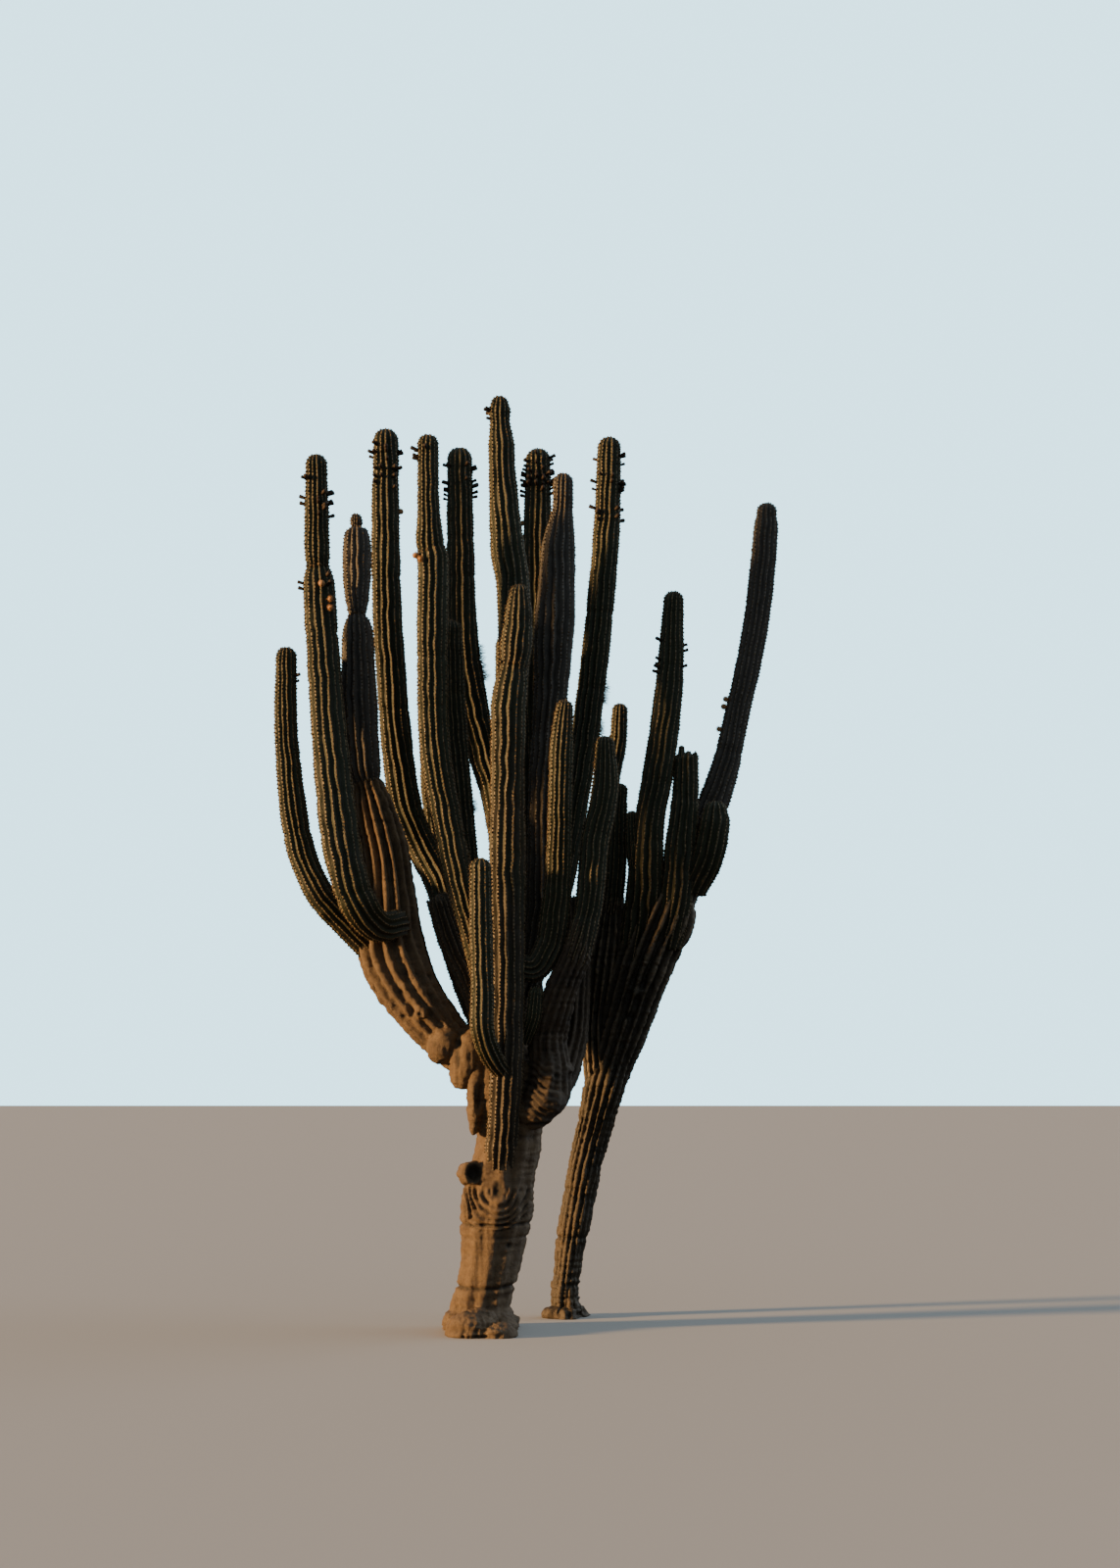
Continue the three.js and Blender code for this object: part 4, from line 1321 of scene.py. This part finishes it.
def copies(name, template, sites, outward, upward, sizes, material, slot):
    """One mesh of a copy per site. Sizes are the scale across, along and outwards."""
    corners, faces = template
    out = unit(outward)
    across = unit(np.cross(upward, out))
    up = np.cross(out, across)
    local = corners[None, :, :] * sizes[:, None, :]
    points = (
        sites[:, None, :]
        + local[..., 0:1] * across[:, None, :]
        + local[..., 1:2] * up[:, None, :]
        + local[..., 2:3] * out[:, None, :]
    ).reshape(-1, 3)
    starts = np.arange(len(sites)) * len(corners)
    triangles = (faces[None, :, :] + starts[:, None, None]).reshape(-1, 3)
    mesh = bpy.data.meshes.new(name)
    mesh.vertices.add(len(points))
    mesh.vertices.foreach_set("co", points.astype(np.float32).ravel())
    mesh.loops.add(triangles.size)
    mesh.loops.foreach_set("vertex_index", triangles.astype(np.int32).ravel())
    mesh.polygons.add(len(triangles))
    mesh.polygons.foreach_set("loop_start", np.arange(0, triangles.size, 3, dtype=np.int32))
    mesh.update(calc_edges=True)
    mesh.materials.append(material)
    piece = bpy.data.objects.new(name, mesh)
    bpy.context.collection.objects.link(piece)
    pick(piece)
    bpy.ops.object.shade_smooth()
    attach(piece, "root")


def in_pieces(name, template, columns, material, slot):
    """Splits a long list of copies, so that no piece has too many triangles."""
    total = len(columns[0])
    parts = math.ceil(total / (MOST_TRIANGLES // len(template[1])))
    for number in range(parts):
        share = slice(number * total // parts, (number + 1) * total // parts)
        part = [column[share] for column in columns]
        copies(f"{name}_{number + 1}", template, *part, material, slot)
    print(name, total, "copies in", parts, "pieces,", total * len(template[1]), "triangles")


def unit_cone(corners, middle):
    """A cone of radius and height one, with its middle so high above the crest."""
    deselect()
    bpy.ops.mesh.primitive_cone_add(
        vertices=corners, radius1=1, radius2=0, depth=1, location=(0, 0, middle)
    )
    return read_template(bpy.context.object)


PAD = unit_cone(6, 0.35)
THORN = unit_cone(3, 0.45)
print("pad", len(PAD[1]), "thorn", len(THORN[1]), "triangles")

# %% Areole sites on the crests
AREOLE_GAP = 0.026
AREOLE_JITTER = 0.005
HIDDEN_SHARE = 0.86
WIDEST_LIMB = 0.25


def crest_sites(stem, gap, draw):
    """Places along every crest, with the way out and up, and the share along."""
    grid, line = stem["grid"][1:-1], stem["line"][1:-1]
    rows = []
    for rib in range(0, grid.shape[1], SAMPLES_PER_RIB):
        track = grid[:, rib]
        far = along_line(track)
        steps = np.diff(far)
        count = int(far[-1] / gap)
        at = (np.arange(count) + draw.random()) * gap
        at = np.clip(at + draw.uniform(-AREOLE_JITTER, AREOLE_JITTER, count), 0, far[-1] - 1e-4)
        below = np.searchsorted(far, at, side="right") - 1
        w = ((at - far[below]) / np.maximum(steps[below], 1e-6))[:, None]
        place = track[below] * (1 - w) + track[below + 1] * w
        core = line[below, :3] * (1 - w) + line[below + 1, :3] * w
        up = unit(track[below + 1] - track[below])
        out = unit(place - core)
        rows.append(np.hstack([place, out, up, (at / far[-1])[:, None]]))
    return np.vstack(rows)


def hidden(points, own):
    """True where a point lies inside another limb."""
    buried = np.zeros(len(points), bool)
    others = [stem["line"] for name, stem in STEMS.items() if name != own]
    others += [guide["line"] for guide in bark_guides + second_guides]
    low, high = points.min(0) - WIDEST_LIMB, points.max(0) + WIDEST_LIMB
    for line in others:
        close = line[np.all((line[:, :3] > low) & (line[:, :3] < high), axis=1)]
        gap = np.linalg.norm(points[:, None, :] - close[None, :, :3], axis=2)
        buried |= (gap < HIDDEN_SHARE * close[None, :, 3]).any(axis=1)
    return buried


areole_draw = np.random.default_rng(11)
found = []
for name, stem in STEMS.items():
    rows = crest_sites(stem, AREOLE_GAP, areole_draw)
    found.append(rows[~hidden(rows[:, :3], name)])
areoles = np.vstack(found)
site, way_out, way_up, share = areoles[:, :3], areoles[:, 3:6], areoles[:, 6:9], areoles[:, 9]
print("areoles", len(areoles))

# %% Areoles
PAD_SIZE = (0.005, 0.0085, 0.009)
PAD_SPREAD = (0.7, 1.25)

count = len(areoles)
pad_sizes = np.array([PAD_SIZE]) * areole_draw.uniform(*PAD_SPREAD, (count, 1))
in_pieces("areoles", PAD, (site, way_out, way_up, pad_sizes), WOOL, "spines_and_wool")

# %% Wool at the waists
WAIST_WOOL = (
    ("arm_centre_front", 4.59), ("arm_mid_left", 5.388), ("arm_left", 5.3), ("arm_left_jointed", 4.997),
)
WAIST_PAD = 0.012
WAIST_PAD_SPREAD = (0.6, 1.3)
WAIST_PAD_JITTER = 0.004
WAIST_PAD_STRIDE = SAMPLES_PER_RIB // 2

wool_rows = []
for name, height in WAIST_WOOL:
    line, grid = STEMS[name]["line"], STEMS[name]["grid"]
    ring = int(np.argmin(np.abs(line[:-DOME_RINGS - 1, 2] - height)))
    for side in range(0, grid.shape[1], WAIST_PAD_STRIDE):
        size = WAIST_PAD * areole_draw.uniform(*WAIST_PAD_SPREAD)
        shift = areole_draw.normal(0, WAIST_PAD_JITTER, 3)
        out = grid[ring, side] - line[ring, :3]
        wool_rows.append((grid[ring, side] + shift, out, (0, 0, 1), (size, size, size)))
copies("waist_wool", PAD, *in_columns(wool_rows), WOOL, "spines_and_wool")
print("waist wool", len(wool_rows))

# %% [markdown]
# ## Spines
# An old cardon is nearly bare of spines, and its young growth is not. So the pads near a
# tip get up to three short spines and the others one or none, each leaning its own way.

# %% Spines
SPINE_LENGTH = (0.012, 0.026)
SPINE_RADIUS = 0.0009
SPINE_LEAN = 0.45
LEAST_OUTWARD = 0.15
SPINES_PER_PAD = 0.5
MORE_AT_TIP = 1.6
TIP_SHARE = 0.2


def thorn_sizes(radius, lengths):
    """The scales of thorns that share a radius and have lengths of their own."""
    width = np.full(len(lengths), radius)
    return np.stack([width, width, lengths], 1)


young = np.clip(share - (1 - TIP_SHARE), 0, 1) / TIP_SHARE
number = np.floor(SPINES_PER_PAD + MORE_AT_TIP * young + areole_draw.random(count)).astype(int)
chosen = np.repeat(np.arange(count), number)
pad_out = way_out[chosen]
spine_out = unit(pad_out + areole_draw.normal(0, SPINE_LEAN, (len(chosen), 3)))
too_flat = (spine_out * pad_out).sum(1) < LEAST_OUTWARD
spine_out[too_flat] = pad_out[too_flat]
spine_sizes = thorn_sizes(SPINE_RADIUS, areole_draw.uniform(*SPINE_LENGTH, len(chosen)))
spine_columns = (site[chosen], spine_out, way_up[chosen], spine_sizes)
in_pieces("spines", THORN, spine_columns, SPINE, "spines_and_wool")

# %% [markdown]
# ## Buds and fruit
# Buds stand out from the crests a little below the tips, dark and blunt, like pegs. One
# is modelled from a short cylinder: its top is extruded and scaled in steps, first into
# a thicker body and then into a blunt tip. The ripe fruits are round and covered in
# bristles.

# %% The bud
BUD_RADIUS = 0.0105
BUD_FOOT = 0.014
BUD_FOOT_MIDDLE = 0.003
BUD_STEPS = ((1.1, 0.009), (1.08, 0.01), (1.0, 0.007), (0.74, 0.004), (0.4, 0.001))
FACING_UP = 0.9


def extrude_top(scale, rise):
    """Extrudes the selected top face, then scales it."""
    bpy.ops.mesh.extrude_region_move(TRANSFORM_OT_translate={"value": (0, 0, rise)})
    bpy.ops.transform.resize(value=(scale, scale, 1))


def model_bud():
    deselect()
    bpy.ops.mesh.primitive_cylinder_add(
        vertices=8, radius=BUD_RADIUS, depth=BUD_FOOT, location=(0, 0, BUD_FOOT_MIDDLE)
    )
    bud = bpy.context.object
    bpy.ops.object.transform_apply(location=True, rotation=True, scale=True)
    bpy.ops.object.mode_set(mode="EDIT")
    bpy.ops.mesh.select_mode(type="FACE")
    bpy.ops.mesh.select_all(action="DESELECT")
    bpy.ops.object.mode_set(mode="OBJECT")
    for face in bud.data.polygons:
        face.select = face.normal.z > FACING_UP
    bpy.ops.object.mode_set(mode="EDIT")
    for scale, rise in BUD_STEPS:
        extrude_top(scale, rise)
    bpy.ops.object.mode_set(mode="OBJECT")
    return bud


BUD_SHAPE = read_template(model_bud())
print("bud", len(BUD_SHAPE[1]), "triangles,", round(float(BUD_SHAPE[0][:, 2].max()) * 1000), "mm")

# %% Buds near the tips
BUD_ROW_GAP = 0.05
BUD_JITTER = 0.03
BUD_SHARE = 1.6
BUD_RISE = 0.35
BUDS_IN_ROW = (1, 2, 2, 3)
BUD_SPREAD = (0.8, 1.2)
BUD_STRETCH = (0.8, 1.15)
BARE_TIP = 0.05
bud_draw = random.Random(5)
bud_rows = []


def place_bud(stem, rib, below):
    """A bud on a rib's crest, so far below the tip and aimed a little upwards."""
    line, far = stem["line"], along_line(stem["line"])
    ring = int(np.searchsorted(far, far[-1] - max(below, BARE_TIP)))
    place = stem["grid"][ring, rib * SAMPLES_PER_RIB]
    out = place - line[ring, :3]
    up = line[ring, :3] - line[ring - 1, :3]
    aim = out / np.linalg.norm(out) + up / np.linalg.norm(up) * BUD_RISE
    size = bud_draw.uniform(*BUD_SPREAD)
    return place, aim, up, (size, size, size * bud_draw.uniform(*BUD_STRETCH))


for name, stem in STEMS.items():
    ribs = LIMBS[name]["ribs"]
    for below, per_ring in LIMBS[name]["buds"]:
        for rib in range(ribs):
            if bud_draw.random() > BUD_SHARE * per_ring / ribs:
                continue
            for step in range(bud_draw.choice(BUDS_IN_ROW)):
                drop = below * MM + step * BUD_ROW_GAP + bud_draw.uniform(-BUD_JITTER, BUD_JITTER)
                bud_rows.append(place_bud(stem, rib, drop))

copies("buds", BUD_SHAPE, *in_columns(bud_rows), BUD, "buds")
print("buds", len(bud_rows))

# %% Fruit
FRUIT_RADIUS = 0.02
FRUIT_HEART = 0.016
FRUIT_SPREAD = (0.8, 1.15)
FRUIT_SHAPE_SCALE = (1, 1, 1.15)
FRUIT_ON = {
    "arm_left": ((-1.05, -0.21, 5.06), (-1.05, -0.21, 5.0), (-1.12, -0.24, 5.16)),
    "arm_mid_left": ((-0.47, -0.25, 5.345), (-0.46, -0.28, 5.3)),
    "arm_far_right": ((1.717, 0.72, 4.525), (1.703, 0.72, 4.454), (1.667, 0.74, 4.31)),
    "arm_back_left": ((-0.62, 0.78, 5.9),),
    "arm_behind_centre": ((0.36, 1.12, 5.95), (0.25, 1.05, 5.88)),
    "arm_back_centre": ((0.14, 1.4, 4.75),),
}


def seat(name, place):
    """The crest vertex of a stem that is nearest to a place, with the ways out and up."""
    line, grid = STEMS[name]["line"], STEMS[name]["grid"]
    crests = grid[1:-1, ::SAMPLES_PER_RIB]
    gap = np.linalg.norm(crests - np.array(place), axis=2)
    ring, rib = np.unravel_index(np.argmin(gap), gap.shape)
    centre, above = line[ring + 1, :3], line[ring + 2, :3]
    out = crests[ring, rib] - centre
    return crests[ring, rib], out / np.linalg.norm(out), above - centre


deselect()
bpy.ops.mesh.primitive_uv_sphere_add(
    segments=12, ring_count=8, radius=FRUIT_RADIUS, location=(0, 0, FRUIT_HEART)
)
FRUIT_SHAPE = read_template(bpy.context.object)
fruit_rows = [seat(name, place) for name, group in FRUIT_ON.items() for place in group]
fruit_site, fruit_out, fruit_up = in_columns(fruit_rows)
fruit_draw = np.random.default_rng(3)
fruit_sizes = fruit_draw.uniform(*FRUIT_SPREAD, (len(fruit_rows), 1)) * np.array([FRUIT_SHAPE_SCALE])
copies("fruit", FRUIT_SHAPE, fruit_site, fruit_out, fruit_up, fruit_sizes, FRUIT, "fruit")
print("fruit", len(fruit_rows))

# %% Bristles on the fruit
BRISTLES_PER_FRUIT = 170
BRISTLE_START = 0.018
BRISTLE_RADIUS = 0.0011
BRISTLE_LENGTH = (0.008, 0.014)

bristle_way = unit(fruit_draw.normal(0, 1, (len(fruit_rows) * BRISTLES_PER_FRUIT, 3)))
heart = np.repeat(fruit_site + fruit_out * FRUIT_HEART, BRISTLES_PER_FRUIT, axis=0)
feet = heart + bristle_way * BRISTLE_START
sideways = np.roll(bristle_way, 1, axis=1)
lengths = fruit_draw.uniform(*BRISTLE_LENGTH, len(feet))
bristle_columns = (feet, bristle_way, sideways, thorn_sizes(BRISTLE_RADIUS, lengths))
copies("fruit_bristles", THORN, *bristle_columns, FRUIT, "fruit")
print("fruit bristles", len(feet))

# %% [markdown]
# ## Shaggy tufts
# Here and there a crest carries a dark mat of long bristles, where flowers have been
# year after year. A tuft is one or two hundred thin thorns on a short stretch of crest.

# %% Tufts
# Each tuft has its limb, its upper and lower ends, a number of bristles and their length.
TUFT_WIDTH = 0.012
TUFT_JITTER = 0.005
TUFT_LEAN = 0.45
TUFT_RADIUS = 0.0016
TUFT_SPREAD = (0.5, 1.2)
TUFTS = (
    ("arm_behind_left", (-0.07, 0.82, 4.93), (-0.06, 0.82, 4.74), 200, 0.055),
    ("arm_behind_left", (-0.075, 0.82, 4.73), (-0.06, 0.82, 4.68), 90, 0.06),
    ("arm_mid_left_behind", (-0.105, 0.38, 3.73), (-0.1, 0.38, 3.66), 110, 0.045),
    ("arm_centre_front", (0.03, -0.25, 3.55), (0.03, -0.25, 3.47), 80, 0.04),
    ("arm_behind_right", (0.84, 0.74, 4.63), (0.83, 0.74, 4.5), 170, 0.05),
    ("arm_behind_right", (0.81, 0.74, 4.34), (0.8, 0.74, 4.25), 120, 0.05),
    ("arm_back_right", (0.47, 1.5, 4.4), (0.47, 1.5, 4.25), 120, 0.05),
    ("arm_back_mid", (-0.46, 1.35, 4.3), (-0.46, 1.35, 4.2), 90, 0.045),
)
tuft_draw = np.random.default_rng(7)
tuft_rows = []
for name, top, bottom, bristles, long in TUFTS:
    for down in tuft_draw.random(bristles):
        place = np.array(top) * (1 - down) + np.array(bottom) * down
        point, out, up = seat(name, place + tuft_draw.normal(0, TUFT_WIDTH, 3))
        aim = out + tuft_draw.normal(0, TUFT_LEAN, 3)
        size = (TUFT_RADIUS, TUFT_RADIUS, long * tuft_draw.uniform(*TUFT_SPREAD))
        tuft_rows.append((point + tuft_draw.normal(0, TUFT_JITTER, 3), aim, up, size))
copies("tufts", THORN, *in_columns(tuft_rows), SPINE, "spines_and_wool")
print("tuft bristles", len(tuft_rows))
